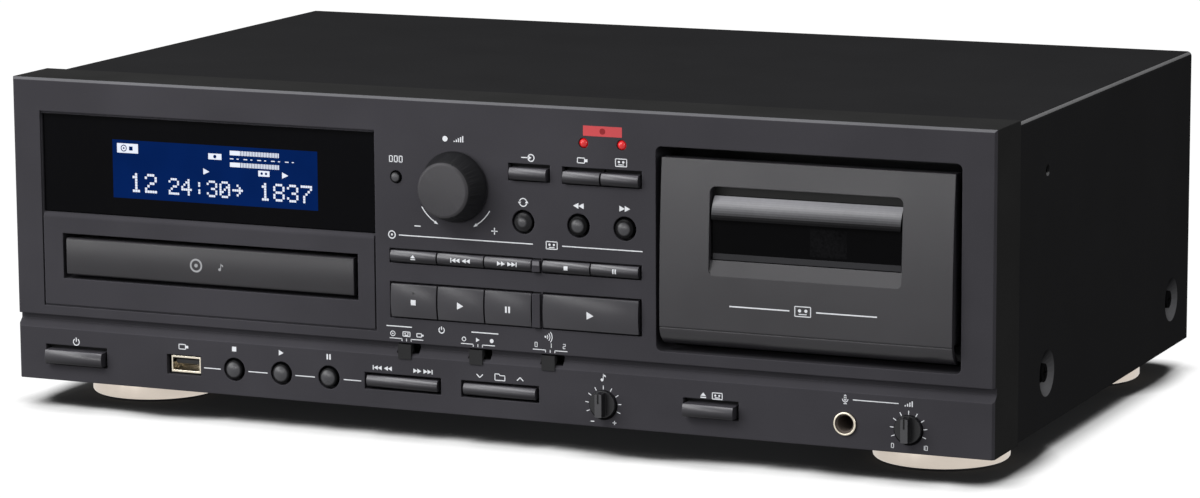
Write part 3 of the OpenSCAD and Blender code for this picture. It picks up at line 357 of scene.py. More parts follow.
# The pane's rolled top: real gloss, and a painted reflection that brightens the faces that lean up
pane_roll_reflection_finish = finish("pane gloss and painted reflection", linear(60, 60, 62), 0.3, spec=0.06, grain=500, bump=0.0,
                          rough_vary=0.02, lean=(0.0, 0.0, 1.0), span=(0.1, 0.72), levels=(0.15, 5.6))
pane_foot_finish = finish("pane foot", linear(46, 46, 48), 0.4, spec=0.05, grain=2000, bump=0.03)
seen_finish = finish("seen through the pane", linear(17, 17, 18), 0.5, spec=0.0, grain=900, bump=0.05,
                     vary=0.5)
pane_rim_finish = finish("pane rim", linear(44, 44, 44), 0.5, spec=0.1, grain=2000, bump=0.04)
socket_finish = finish("socket black", linear(13, 13, 14), 0.45, spec=0.3, grain=2000, bump=0.05)
dark_finish = finish("mechanism black", linear(30, 30, 32), 0.5, spec=0.35, grain=1800, bump=0.08)
tray_finish = finish("tray black", linear(36, 36, 38), 0.44, spec=0.4, grain=2200, bump=0.08)
nylon_finish = finish("white nylon", linear(224, 222, 214), 0.46, spec=0.4, grain=1600, bump=0.05, vary=0.04)
rubber_finish = finish("roller rubber", linear(26, 26, 27), 0.72, spec=0.2, grain=1200, bump=0.15)
chip_finish = finish("component black", linear(24, 24, 25), 0.5, spec=0.35, grain=1300, bump=0.1)
lens_finish = finish("lens glass", linear(20, 26, 54), 0.05, spec=0.6, grain=600, bump=0.0, rough_vary=0.01,
                     coat=1.0)
ink_finish = finish("white ink", linear(214, 216, 220), 0.5, spec=0.2, grain=1800, bump=0.03, vary=0.04)
grey_ink_finish = finish("grey ink", linear(150, 151, 154), 0.5, spec=0.2, grain=1800, bump=0.03, vary=0.04)
bump_finish = finish("raised dot", linear(30, 30, 32), 0.4, spec=0.2, grain=1800, bump=0.03, vary=0.04)
badge_finish = finish("red ink", linear(184, 66, 70), 0.5, spec=0.2, grain=1800, bump=0.03, vary=0.05)
dot_finish = finish("dark red ink", linear(126, 22, 28), 0.5, spec=0.2, grain=1800, bump=0.03, vary=0.05)
ring_white_finish = finish("white ring", linear(226, 226, 222), 0.4, spec=0.4, grain=1800, bump=0.04,
                           vary=0.03)
ring_red_finish = finish("red ring", linear(176, 30, 30), 0.4, spec=0.4, grain=1800, bump=0.04, vary=0.05)
screen_finish = glow("blue backlight", linear(6, 33, 88), 1.0, base=(0.0, 0.0, 0.0, 1.0), spec=0.0,
                     vary=0.08)
dots_finish = glow("lit dots", linear(226, 234, 248), 0.85, base=(0.15, 0.15, 0.16, 1.0), spec=0.04,
                   vary=0.02)
lamp_finish = glow("red lamp", linear(206, 20, 26), 0.4, base=linear(170, 12, 16), rough=0.12, spec=0.5,
                   vary=0.12)


def board_material(name, field, other, gap):
    """Circuit board: darker copper runs under the lacquer."""
    mat, tree, shader = new_material(name)
    coords = add(tree, "ShaderNodeTexCoord")
    brick = add(tree, "ShaderNodeTexBrick")
    brick.inputs["Scale"].default_value = 160.0
    brick.inputs["Mortar Size"].default_value = 0.07
    brick.inputs["Color1"].default_value = linear(*field)
    brick.inputs["Color2"].default_value = linear(*other)
    brick.inputs["Mortar"].default_value = linear(*gap)
    tree.links.new(coords.outputs["Object"], brick.inputs["Vector"])
    tree.links.new(brick.outputs["Color"], shader.inputs["Base Color"])
    relief = add(tree, "ShaderNodeBump")
    relief.inputs["Strength"].default_value = 0.2
    relief.inputs["Distance"].default_value = 0.00004
    tree.links.new(brick.outputs["Fac"], relief.inputs["Height"])
    tree.links.new(relief.outputs["Normal"], shader.inputs["Normal"])
    shader.inputs["Roughness"].default_value = 0.3
    return mat


board_finish = board_material("green board", (26, 82, 44), (34, 98, 54), (22, 66, 36))
black_board_finish = board_material("black board", (14, 15, 15), (19, 20, 20), (9, 10, 10))

lip_shade_finish = finish("key lip painted shade", linear(30, 30, 31), 0.6, spec=0.02, grain=2000, bump=0.05)
knob_side_shade = finish("knob side painted shade", linear(26, 26, 28), 0.5, spec=0.1, grain=2600, bump=0.08)

coat_of = {
    "front_panel": panel_finish, "top_cover": cover_finish, "bottom_chassis": steel_finish,
    "rear_panel": rear_finish, "feet": foot_finish, "foot_pads": pad_finish, "cabinet_screws": screw_finish,
    "display_window": window_finish, "display_module": dark_finish, "control_board": black_board_finish,
    "record_lamps": lamp_finish, "memory_port": nickel_finish, "microphone_jack": socket_finish,
    "phono_jacks": socket_finish, "mains_inlet": socket_finish, "main_board": board_finish,
    "disc_loader": dark_finish, "disc_tray": tray_finish, "tray_bar": bar_finish, "tray_pinion": nylon_finish,
    "disc_turntable": dark_finish, "optical_pickup": plate_finish, "cassette_door": door_finish,
    "door_pane": pane_roll_reflection_finish, "cassette_holder": dark_finish, "transport_plate": black_plate_finish,
    "supply_spindle": nylon_finish, "takeup_spindle": nylon_finish, "capstan_flywheel": bright_finish,
    "head_bridge": bright_finish, "pinch_roller": rubber_finish, "level_knob": knob_finish,
    "pitch_dial": dial_finish, "microphone_dial": dial_finish, "input_slider": slider_finish,
    "sync_slider": slider_finish, "timer_slider": slider_finish, "counter_key": pin_finish,
    "repeat_key": dished_finish, "rewind_key": round_finish, "forward_key": round_finish,
    "memory_stop_key": strip_round_finish, "memory_play_key": strip_round_finish,
    "memory_pause_key": strip_round_finish,
    "disc_stop_key": tall_finish, "disc_play_key": tall_finish, "disc_pause_key": tall_finish,
    "tape_play_key": tall_finish,
}


def dress(name, finishes, choose=None):
    """Puts finishes on a solid; choose gives the place in the list from a face's middle and normal, in mm."""
    mesh = nodes[name].data
    mesh.materials.clear()
    for mat in finishes:
        mesh.materials.append(mat)
    for face in mesh.polygons:
        face.material_index = 0
        if choose:
            c = face.center
            spot = (c.x / MM, (c.y - FACE_Y) / MM, (c.z - FACE_Z) / MM)
            face.material_index = choose(spot, face.normal)


PANEL_BACK = 3.1
for name in nodes:
    dress(name, [coat_of.get(name, key_finish)])
    if name.endswith(("_key", "_rocker")):
        # Lips and stems behind the panel take a darker copy of the key colour, painted shade
        dress(name, [coat_of.get(name, key_finish), lip_shade_finish],
              lambda p, n: 1 if p[1] > PANEL_BACK else 0)

panel_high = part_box("front_panel")[1]
panel_top, panel_side = panel_high.z / MM - FACE_Z / MM, panel_high.x / MM


def panel_part(p, n):
    """Front and openings, the top and returns in painted shade, or the pale bevel along the top with a
    painted highlight.
    """
    if p[2] > panel_top - 1.5 and 0.4 < n.z < 0.9 and n.y < -0.4:
        return 2
    outer = (n.z > 0.9 and p[2] > panel_top - 0.5) or (abs(n.x) > 0.9 and abs(p[0]) > panel_side - 0.5)
    return 1 if outer else 0


dress("front_panel", [panel_finish, return_shade_finish, bevel_highlight_finish], panel_part)


SIDE_BAND, DISH_TOP, FOLD_FOOT = 8, 32, 100


def cover_part(p, n):
    """Sheet, the slopes of the pressed dishes round the side screws in painted light and shade, or the bent
    upper edges with a painted highlight.
    """
    if abs(p[0]) < panel_side - SIDE_BAND:
        return 0
    if p[2] < DISH_TOP and 0.5 < abs(n.x) < 0.97:
        return 1
    return 2 if p[2] > FOLD_FOOT and 0.45 < n.z < 0.9 else 0


dress("top_cover", [cover_finish, dish_shade_finish, fold_highlight_finish], cover_part)

ROLL_H = 16.0
roll_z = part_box("door_pane")[1].z / MM - FACE_Z / MM - ROLL_H
dress("door_pane", [pane_roll_reflection_finish, pane_flat_finish, pane_rim_finish],
      lambda p, n: 2 if p[1] > 3.5 else (0 if p[2] > roll_z and n.y < -0.5 and p[1] < 3 else 1))

THROAT_R = 3.95
jack_low, jack_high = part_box("microphone_jack")
jack_x = (jack_low.x + jack_high.x) / 2 / MM
jack_z = ((jack_low.z + jack_high.z) / 2 - FACE_Z) / MM - 0.3
port_low, port_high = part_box("memory_port")
port_x = (port_low.x + port_high.x) / 2 / MM
port_z = ((port_low.z + port_high.z) / 2 - FACE_Z) / MM
dress("memory_port", [nickel_finish, socket_finish],
      lambda p, n: 1 if p[1] > 2.5 and abs(p[0] - port_x) < 5.7 and -0.1 < p[2] - port_z < 1.9 else 0)


def jack_part(p, n):
    """Body, plated nut, or the throat inside it."""
    if math.hypot(p[0] - jack_x, p[2] - jack_z) < THROAT_R:
        return 2
    return 1 if p[1] < -0.05 else 0


dress("microphone_jack", [socket_finish, nickel_finish, throat_finish], jack_part)
# The dials' bar fronts: a paler copy of the dial colour, painted highlight
for name in ("pitch_dial", "microphone_dial"):
    dress(name, [dial_finish, dial_front_highlight], lambda p, n: 1 if n.y < -0.8 and p[1] < -5.3 else 0)
# The knob's sides: a darker copy of its colour, painted shade
dress("level_knob", [knob_finish, knob_side_shade], lambda p, n: 0 if n.y < -0.6 else 1)
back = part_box("rear_panel")[1].y / MM - FACE_Y / MM
dress("phono_jacks", [socket_finish, gold_finish], lambda p, n: 1 if p[1] > back + 0.1 else 0)
PIN_XS, PIN_Z, PIN_R = (-145.8, -154.2), 40, 1.3
dress("mains_inlet", [socket_finish, nickel_finish],
      lambda p, n: 1 if min(abs(p[0] - x) for x in PIN_XS) < PIN_R and abs(p[2] - PIN_Z) < PIN_R else 0)
board_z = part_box("main_board")[0].z / MM - FACE_Z / MM
dress("main_board", [board_finish, chip_finish, plate_finish],
      lambda p, n: 0 if p[2] < board_z + 1.7 else (2 if 118 < p[0] < 182 and 12 > p[2] - board_z > 1 else 1))
dress("optical_pickup", [plate_finish, lens_finish, dark_finish],
      lambda p, n: 1 if n.z > 0.9 and p[2] > 51.2 else (2 if p[2] > 48.8 else 0))
dress("control_board", [black_board_finish, chip_finish],
      lambda p, n: 1 if p[1] < 17.0 and abs(n.y) < 0.5 else 0)


def soften(name, width):
    """Rounds a solid's sharp edges by modifiers, so that they catch light as moulded or bent edges do."""
    obj = nodes[name]
    weld = obj.modifiers.new("weld", "WELD")
    weld.merge_threshold = 1e-6
    flat = obj.modifiers.new("flat", "DECIMATE")
    flat.decimate_type = "DISSOLVE"
    flat.angle_limit = 0.004
    flat.delimit = {"MATERIAL"}
    edge = obj.modifiers.new("edge", "BEVEL")
    edge.width = width * MM
    edge.segments = 2
    edge.limit_method = "ANGLE"
    edge.angle_limit = 0.61
    edge.harden_normals = True


EDGE = 0.2
edge_of = {"feet": 0.4, "level_knob": 0.4}
for name in nodes:
    # These four are rounded in the solid or in their finish
    if name not in ("front_panel", "cassette_door", "door_pane", "top_cover"):
        soften(name, edge_of.get(name, EDGE))

# Printing: flat shapes in the panel's plane, laid on the surface that carries them. Sizes are in mm.

INK_W = 0.42  # usual width of a printed line
MARK_W = 0.36  # lines of the small signs
FINE_W = 0.34  # scales and ticks


def poly(*points):
    return [list(points)]


def bar(x0, x1, z0, z1):
    return [[(x0, z0), (x1, z0), (x1, z1), (x0, z1)]]


def line(x0, x1, z, w=INK_W):
    return bar(x0, x1, z - w / 2, z + w / 2)


def post(x, z0, z1, w=INK_W):
    return bar(x - w / 2, x + w / 2, z0, z1)


def stroke(x0, z0, x1, z1, w=INK_W):
    d = Vector((x1 - x0, z1 - z0)).normalized() * (w / 2)
    return [[(x0 + d.y, z0 - d.x), (x1 + d.y, z1 - d.x), (x1 - d.y, z1 + d.x), (x0 - d.y, z0 + d.x)]]


def arc(x, z, r, a0, a1, w=INK_W, n=None):
    n = n or max(4, int(abs(a1 - a0) / 7.5))
    turn = [math.radians(a0 + (a1 - a0) * i / n) for i in range(n + 1)]
    out = [(x + (r + w / 2) * math.cos(a), z + (r + w / 2) * math.sin(a)) for a in turn]
    back = [(x + (r - w / 2) * math.cos(a), z + (r - w / 2) * math.sin(a)) for a in reversed(turn)]
    return [out + back]


def ring(x, z, r, w=INK_W):
    return arc(x, z, r, 0, 180, w) + arc(x, z, r, 180, 360, w)


def dot(x, z, r, n=20):
    turn = [2 * math.pi * i / n for i in range(n)]
    return [[(x + r * math.cos(a), z + r * math.sin(a)) for a in turn]]


def right(x, z, w, h):
    return poly((x - w / 2, z - h / 2), (x + w / 2, z), (x - w / 2, z + h / 2))


def left(x, z, w, h):
    return poly((x + w / 2, z - h / 2), (x - w / 2, z), (x + w / 2, z + h / 2))


def up(x, z, w, h):
    return poly((x - w / 2, z - h / 2), (x + w / 2, z - h / 2), (x, z + h / 2))


def pair(kind, x, z, w, h):
    return kind(x - w / 2, z, w, h) + kind(x + w / 2, z, w, h)


def stop_mark(x, z, s):
    return bar(x - s / 2, x + s / 2, z - s / 2, z + s / 2)


def pause_mark(x, z, h):
    return sum([post(x + d, z - h / 2, z + h / 2, h * 0.3) for d in (-h * 0.27, h * 0.27)], [])


def eject_mark(x, z, s):
    return up(x, z + s * 0.16, s * 1.1, s * 0.62) + line(x - s * 0.55, x + s * 0.55, z - s * 0.42, s * 0.22)


def back_mark(x, z, h):
    w = h * 0.95
    return (post(x - 2.2 * w, z - h / 2, z + h / 2, h * 0.22) + pair(left, x - 1.05 * w, z, w, h)
            + pair(left, x + 1.5 * w, z, w, h))


def next_mark(x, z, h):
    return [[(2 * x - px, pz) for px, pz in shape] for shape in back_mark(x, z, h)]


def disc_mark(x, z, r=1.5):
    return ring(x, z, r, r * 0.3) + dot(x, z, r * 0.32)


def tape_mark(x, z, w=4.8, h=3.0):
    t = MARK_W
    return (line(x - w / 2, x + w / 2, z + h / 2, t) + line(x - w / 2, x + w / 2, z - h / 2, t)
            + post(x - w / 2, z - h / 2, z + h / 2, t) + post(x + w / 2, z - h / 2, z + h / 2, t)
            + dot(x - w * 0.2, z + h * 0.08, h * 0.17) + dot(x + w * 0.2, z + h * 0.08, h * 0.17)
            + line(x - w * 0.25, x + w * 0.25, z - h * 0.28, t))


def memory_mark(x, z, w=4.4, h=2.0):
    t = MARK_W
    return (line(x - w / 2, x + w * 0.2, z + h / 2, t) + line(x - w / 2, x + w * 0.2, z - h / 2, t)
            + post(x - w / 2, z - h / 2, z + h / 2, t) + post(x + w * 0.2, z - h / 2, z + h / 2, t)
            + bar(x + w * 0.24, x + w / 2, z - h * 0.28, z + h * 0.28))


def power_mark(x, z, r=1.4):
    return arc(x, z, r, 125, 415) + post(x, z + r * 0.1, z + r * 1.3)


def loop_mark(x, z, r=1.6):
    head = up(x + r, z + 0.3, r * 0.95, r * 0.7)
    return (arc(x, z, r, 20, 165) + arc(x, z, r, 200, 345)
            + left(x - r, z + 0.2, 0.01 + r * 0.9, r * 0.2) + head
            + [[(2 * x - px, 2 * z - pz) for px, pz in shape] for shape in head])


def rise_mark(x, z, n=5, w=0.5, step=0.95, h=2.6):
    start = x - step * (n - 1) / 2
    out = []
    for i in range(n):
        out += bar(start + i * step - w / 2, start + i * step + w / 2, z - h / 2, z - h / 2 + h * (i + 1) / n)
    return out


def voice_mark(x, z):
    return (bar(x - 0.55, x + 0.55, z, z + 1.3) + dot(x, z + 1.3, 0.55, 14) + dot(x, z, 0.55, 14)
            + arc(x, z + 0.1, 1.15, 180, 360, FINE_W) + post(x, z - 1.7, z - 1.0, FINE_W)
            + line(x - 0.7, x + 0.7, z - 1.75, FINE_W))


def note_mark(x, z):
    return (dot(x - 0.5, z - 1.0, 0.6, 16) + post(x - 0.0, z - 1.0, z + 1.5, 0.3)
            + poly((x - 0.1, z + 1.5), (x + 1.1, z + 0.8), (x + 1.1, z + 0.1), (x - 0.1, z + 0.9)))


def folder_mark(x, z, w=4.4, h=2.6):
    t = MARK_W
    return (line(x - w / 2, x + w / 2, z - h / 2, t) + post(x - w / 2, z - h / 2, z + h / 2, t)
            + post(x + w / 2, z - h / 2, z + h * 0.28, t) + line(x - w / 2, x - w * 0.1, z + h / 2, t)
            + stroke(x - w * 0.1, z + h / 2, x + w * 0.02, z + h * 0.28, t)
            + line(x, x + w / 2, z + h * 0.28, t))


def echo_mark(x, z):
    waves = sum([arc(x - 2.2, z, 1.2 + 0.95 * i, -42, 42, FINE_W) for i in range(3)], [])
    return dot(x - 2.0, z, 0.42, 14) + waves


SEGMENTS = {"0": "abcdef", "1": "bc", "2": "abged", "3": "abgcd", "8": "abcdefg"}


def digit(text, x, z, h=2.0):
    w, t = h * 0.55, h * 0.15
    parts = {
        "a": line(x - w / 2, x + w / 2, z + h / 2, t), "d": line(x - w / 2, x + w / 2, z - h / 2, t),
        "g": line(x - w / 2, x + w / 2, z, t), "b": post(x + w / 2, z, z + h / 2, t),
        "c": post(x + w / 2, z - h / 2, z, t), "e": post(x - w / 2, z - h / 2, z, t),
        "f": post(x - w / 2, z, z + h / 2, t),
    }
    return sum([parts[s] for s in SEGMENTS[text]], [])


def piece(name, bm, mat, body, smooth=False):
    """Turns a closed bmesh into an object that rides on a body."""
    bmesh.ops.recalc_face_normals(bm, faces=bm.faces)
    mesh = bpy.data.meshes.new(name)
    bm.to_mesh(mesh)
    bm.free()
    mesh.materials.append(mat)
    if smooth:
        for face in mesh.polygons:
            face.use_smooth = True
    obj = bpy.data.objects.new(name, mesh)
    bpy.context.scene.collection.objects.link(obj)
    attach(obj, body)
    return obj


surfaces = {}


def surface(node):
    if node not in surfaces:
        mesh = nodes[node].data
        faces = [p.vertices for p in mesh.polygons]
        surfaces[node] = BVHTree.FromPolygons([v.co for v in mesh.vertices], faces)
    return surfaces[node]


def depth_at(node, x, z):
    hit = surface(node).ray_cast(at(x, -60, z), Vector((0, 1, 0)))[0]
    return (hit.y - FACE_Y) / MM if hit else None


def printed(name, body, node, shapes, mat, proud=0.05, depth=None, step=None):
    """Closed flat prints, each point laid on the node's front surface, or at a given depth.

    With a step, shapes are first cut into level bands of that height, to follow a crowned cap."""
    bm = bmesh.new()
    for shape in shapes:
        bm.faces.new([bm.verts.new(at(x, 0, z)) for x, z in shape])
    if step:
        levels = [z for shape in shapes for _, z in shape]
        for k in range(1, int((max(levels) - min(levels)) / step) + 1):
            bmesh.ops.bisect_plane(bm, geom=bm.verts[:] + bm.edges[:] + bm.faces[:],
                                   plane_co=at(0, 0, min(levels) + k * step), plane_no=(0, 0, 1))
    fronts, rims = list(bm.faces), [e for e in bm.edges if e.is_boundary]
    behind = {}
    for v in list(bm.verts):
        x, z = v.co.x / MM, (v.co.z - FACE_Z) / MM
        y = depth if depth is not None else depth_at(node, x, z)
        behind[v] = bm.verts.new(at(x, y + 0.04, z))
        v.co = at(x, y - proud, z)
    for face in fronts:
        bm.faces.new([behind[v] for v in reversed(face.verts)])
    for e in rims:
        p, q = e.verts
        bm.faces.new((p, q, behind[q], behind[p]))
    return piece(name, bm, mat, body)


def panel_print(name, shapes, mat=None):
    return printed(name, "cabinet", "front_panel", shapes, mat or ink_finish)


def middle(node):
    low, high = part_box(node)
    return (low.x + high.x) / 2 / MM, ((low.z + high.z) / 2 - FACE_Z) / MM


def arrow_end(x, z, r, a, turn, s=1.5):
    """Arrow head on an arc's end, pointing along the turn."""
    a = math.radians(a)
    tip = Vector((x + r * math.cos(a), z + r * math.sin(a)))
    along = Vector((-math.sin(a), math.cos(a))) * turn
    side = Vector((math.cos(a), math.sin(a)))
    p, q, t = tip - side * s * 0.45, tip + side * s * 0.45, tip + along * s * 1.2
    return poly((p.x, p.y), (q.x, q.y), (t.x, t.y))


kx, kz = middle("level_knob")
panel_print("print_level", arc(kx, kz, 17.7, 211, 238) + arc(kx, kz, 17.7, 302, 329)
            + arrow_end(kx, kz, 17.7, 238, 1) + arrow_end(kx, kz, 17.7, 302, -1)
            + line(kx - 18.6, kx - 15.8, kz - 17.2) + line(kx + 15.8, kx + 18.6, kz - 17.2)
            + post(kx + 17.2, kz - 18.6, kz - 15.8)
            + dot(kx - 4.4, kz + 19.2, 1.15) + rise_mark(kx + 1.6, kz + 19.4))
cx, cz = middle("counter_key")
panel_print("print_counter", sum([digit("0", cx + d, cz + 7.4, 2.4) for d in (-2.2, 0, 2.2)], []))
sx, sz = middle("source_key")
panel_print("print_source", ring(sx + 0.9, sz + 6.6, 1.35) + line(sx - 3.4, sx - 0.4, sz + 6.6)
            + right(sx + 0.5, sz + 6.6, 1.3, 1.5))
mx, mz = middle("memory_record_key")
tx, tz = middle("tape_record_key")
panel_print("print_record", memory_mark(mx, mz + 7.0) + tape_mark(tx, tz + 7.0))
badge = panel_print("record_badge", bar(45.0, 61.8, 117.5, 121.6), badge_finish)
printed("record_badge_dot", "cabinet", "front_panel", dot(53.4, 119.55, 1.25), dot_finish,
        proud=0.08)
rx, rz = middle("repeat_key")
panel_print("print_repeat", loop_mark(rx, rz + 8.0))
wx, wz = middle("rewind_key")
fx, fz = middle("forward_key")
panel_print("print_wind", pair(left, wx, wz + 8.0, 2.3, 2.4) + pair(right, fx, fz + 8.0, 2.3, 2.4))
HEAD_Z = 72.4  # headings over the key rows
panel_print("print_headings", disc_mark(-40.2, HEAD_Z) + line(-37.0, 22.7, HEAD_Z) + tape_mark(31.0, HEAD_Z)
            + line(35.6, 70.5, HEAD_Z))

# Scales over the slide switches, about the middle of their travel
HALF_SLIDE = 2
SCALE_Z = 29.6
slides = [middle(node)[0] + HALF_SLIDE for node in ("input_slider", "sync_slider", "timer_slider")]
brackets = []
for x in slides:
    brackets += line(x - 7.6, x - 1.9, SCALE_Z, FINE_W) + line(x + 1.9, x + 7.6, SCALE_Z, FINE_W)
    brackets += sum([post(x + d, 28.6, 29.75, FINE_W) for d in (-2.05, 0, 2.05)], [])
panel_print("print_switch_scales", brackets)
a, b, c = slides
SIGN_X, SIGN_Z, DIGIT_Z, RULE_Z = 6.2, 31.5, 31.6, 34.6
panel_print("print_switches", disc_mark(a - SIGN_X, SIGN_Z, 1.0) + tape_mark(a, DIGIT_Z, 3.2, 1.8)
            + memory_mark(a + SIGN_X, SIGN_Z, 3.0, 1.4) + ring(b - SIGN_X, SIGN_Z, 0.8, 0.32)
            + right(b, SIGN_Z, 1.6, 1.8) + dot(b + SIGN_X, SIGN_Z, 0.85)
            + digit("0", c - SIGN_X, DIGIT_Z, 1.8) + digit("1", c, DIGIT_Z, 1.8)
            + digit("2", c + SIGN_X, DIGIT_Z, 1.8) + line(-43.2, -31.7, RULE_Z) + line(-4.9, 7.1, RULE_Z)
            + power_mark(-18.3, 34.4, 1.2) + echo_mark(c, 35.0))
px, pz = middle("power_key")
panel_print("print_power", power_mark(px, pz + 6.6))
ux, uz = middle("memory_port")
a, b, c = [middle(k)[0] for k in ("memory_stop_key", "memory_play_key", "memory_pause_key")]
CLEAR = 6.5  # from a round key's middle to the line beside it
strip = memory_mark(ux, uz + 7.8)
for x0, x1 in ((ux + 9.4, a - CLEAR), (a + CLEAR, b - CLEAR), (b + CLEAR, c - CLEAR), (c + 6.8, c + 14.8)):
    strip += line(x0, x1, uz - 0.4, 0.4)
strip += stop_mark(a, uz + 8.6, 2.0) + right(b, uz + 8.6, 2.2, 2.4) + pause_mark(c, uz + 8.6, 2.3)
panel_print("print_memory", strip)
kx1, kz1 = middle("skip_rocker")
kx2, kz2 = middle("folder_rocker")
z0, z1 = kz2 + 5.1, kz2 + 6.5
panel_print("print_rockers", back_mark(kx1 - 9.4, kz1 + 5.7, 1.9) + next_mark(kx1 + 9.4, kz1 + 5.7, 1.9)
            + stroke(kx2 - 10.4, z1, kx2 - 9.0, z0) + stroke(kx2 - 9.0, z0, kx2 - 7.6, z1)
            + stroke(kx2 + 7.6, z0, kx2 + 9.0, z1) + stroke(kx2 + 9.0, z1, kx2 + 10.4, z0)
            + folder_mark(kx2, kz2 + 5.9))


def tick_ring(x, z, r0, r1):
    """Nine ticks about a dial, the middle one on top."""
    out = []
    for deg in range(-112, 113, 28):
        c, s = math.cos(math.radians(90 + deg)), math.sin(math.radians(90 + deg))
        out += stroke(x + r0 * c, z + r0 * s, x + r1 * c, z + r1 * s, FINE_W)
    return out


def dial_gap_shade(x, z):
    """Painted shade: a dark ring for the gap between a dial and the panel."""
    return ring(x, z, 5.7, 0.9)


px2, pz2 = 53.2, pz - 1.4
panel_print("print_pitch", tick_ring(px2, pz2, 6.4, 7.9)
            + line(px2 - 5.6, px2 - 4.0, pz2 - 7.0, MARK_W) + line(px2 + 4.0, px2 + 5.6, pz2 - 7.0, MARK_W)
            + post(px2 + 4.8, pz2 - 7.8, pz2 - 6.2, MARK_W) + note_mark(px2, pz2 + 11.2))
panel_print("pitch_gap_shade", dial_gap_shade(px2, pz2), gap_finish)
ex, ez = middle("eject_key")
panel_print("print_eject", eject_mark(ex - 3.2, ez + 6.0, 2.2) + tape_mark(ex + 2.8, ez + 6.0, 4.2, 2.5))
jx = middle("microphone_jack")[0]
dx, dz = 182.6, pz - 1.2
panel_print("print_voice", voice_mark(jx, dz + 10.2) + line(jx + 3.2, dx - 4.2, dz + 10.2, MARK_W)
            + rise_mark(dx, dz + 10.4, 4, 0.5, 0.95, 2.2) + tick_ring(dx, dz, 6.2, 7.7)
            + digit("0", dx - 6.6, dz - 6.6, 1.7) + digit("1", dx + 6.0, dz - 6.6, 1.7)
            + digit("0", dx + 7.3, dz - 6.6, 1.7))
panel_print("microphone_gap_shade", dial_gap_shade(dx, dz), gap_finish)

# Fixed divider between the key groups: painted shade for the gaps above and below it, and a painted highlight
# on its pale upper half in the thin row
KEY_LIP, GAP_OFF, GAP_W = 1.6, 0.35, 0.6
x0, x1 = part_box("disc_next_key")[1].x / MM + 0.6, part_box("tape_stop_key")[0].x / MM - 1.1
gaps = []
for key in ("tape_stop_key", "tape_play_key"):
    low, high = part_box(key)
    gaps += line(x0, x1, (low.z - FACE_Z) / MM + KEY_LIP - GAP_OFF, GAP_W)
    gaps += line(x0, x1, (high.z - FACE_Z) / MM - KEY_LIP + GAP_OFF, GAP_W)
panel_print("divider_gap_shade", gaps, gap_finish)
z = middle("tape_stop_key")[1]
panel_print("divider_top_highlight", bar(x0 + 0.3, x1 - 0.3, z + 0.3, z + 2.0), divider_highlight_finish)

key_marks = {
    "disc_open": lambda x, z: eject_mark(x, z, 2.0),
    "disc_back": lambda x, z: back_mark(x, z, 1.9),
    "disc_next": lambda x, z: next_mark(x, z, 1.9),
    "tape_stop": lambda x, z: stop_mark(x, z, 1.7),
    "tape_pause": lambda x, z: pause_mark(x, z, 1.9),
    "disc_stop": lambda x, z: stop_mark(x, z - 0.4, 2.2),
    "disc_play": lambda x, z: right(x, z - 0.4, 2.8, 3.0),
    "disc_pause": lambda x, z: pause_mark(x, z - 0.4, 2.6),
    "tape_play": lambda x, z: right(x, z - 0.4, 3.0, 3.2),
}
for key, mark in key_marks.items():
    x, z = middle(key + "_key")
    printed("mark_" + key, key + "_button", key + "_key", mark(x, z), ink_finish, step=0.3)

# Raised dot that the finger finds, on the disc's stop key
x, z = middle("disc_stop_key")
printed("stop_dot", "disc_stop_button", "disc_stop_key", dot(x, z + 3.4, 0.5), bump_finish,
        proud=0.12)

# Plain signs where the maker's words would stand: a cassette between two rules, a disc and a note
low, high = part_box("door_pane")
x, z = (low.x + high.x) / 2 / MM - 0.4, (low.z - FACE_Z) / MM - 8.6
printed("print_door", "door", "cassette_door", line(x - 30.8, x - 5.6, z, 0.5) + tape_mark(x, z, 6.6, 3.9)
        + line(x + 5.6, x + 30.8, z, 0.5), ink_finish, step=0.5)
# Foot of the pane above the sill, and what shows dimly through the pane
x = (low.x + high.x) / 2 / MM
PANE_W, PANE_Z = 80.4, 71.5
printed("pane_foot", "door", "door_pane",
        bar(x - PANE_W / 2 + 0.9, x + PANE_W / 2 - 0.9, PANE_Z, PANE_Z + 2.4),
        pane_foot_finish, proud=0.03)
printed("pane_view", "door", "door_pane", bar(x + 1.6, x + 16.9, PANE_Z + 3.5, PANE_Z + 15.0),
        seen_finish, proud=0.02)
x, z = middle("tray_bar")
printed("print_tray", "tray", "tray_bar", disc_mark(x - 5.6, z, 2.5) + note_mark(x + 6.0, z), grey_ink_finish)

# The lit screen in the window: a blue field, dot digits, a level scale and small signs
low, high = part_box("display_window")
window_y = (low.y - FACE_Y) / MM
SX, SZ, SW, SH = -122.7, 92.0, 96.0, 24.5  # the field's middle, width and height


def on_window(name, shapes, mat, proud):
    return printed(name, "cabinet", "display_window", shapes, mat, proud=proud,
                   depth=window_y)


on_window("screen_field", bar(SX - SW / 2, SX + SW / 2, SZ - SH / 2, SZ + SH / 2), screen_finish, 0.05)

DOTS = {
    "0": "01110 10001 10011 10101 11001 10001 01110", "1": "00100 01100 00100 00100 00100 00100 01110",
    "2": "01110 10001 00001 00110 01000 10000 11111", "3": "01110 10001 00001 00110 00001 10001 01110",
    "4": "00010 00110 01010 10010 11111 00010 00010", "5": "11111 10000 11110 00001 00001 10001 01110",
    "6": "00110 01000 10000 11110 10001 10001 01110", "7": "11111 00001 00010 00100 01000 01000 01000",
    "8": "01110 10001 10001 01110 10001 10001 01110", "9": "01110 10001 10001 01111 00001 00010 01100",
    ":": "00000 00100 00100 00000 00100 00100 00000", ">": "00000 00100 00010 11111 00010 00100 00000",
}


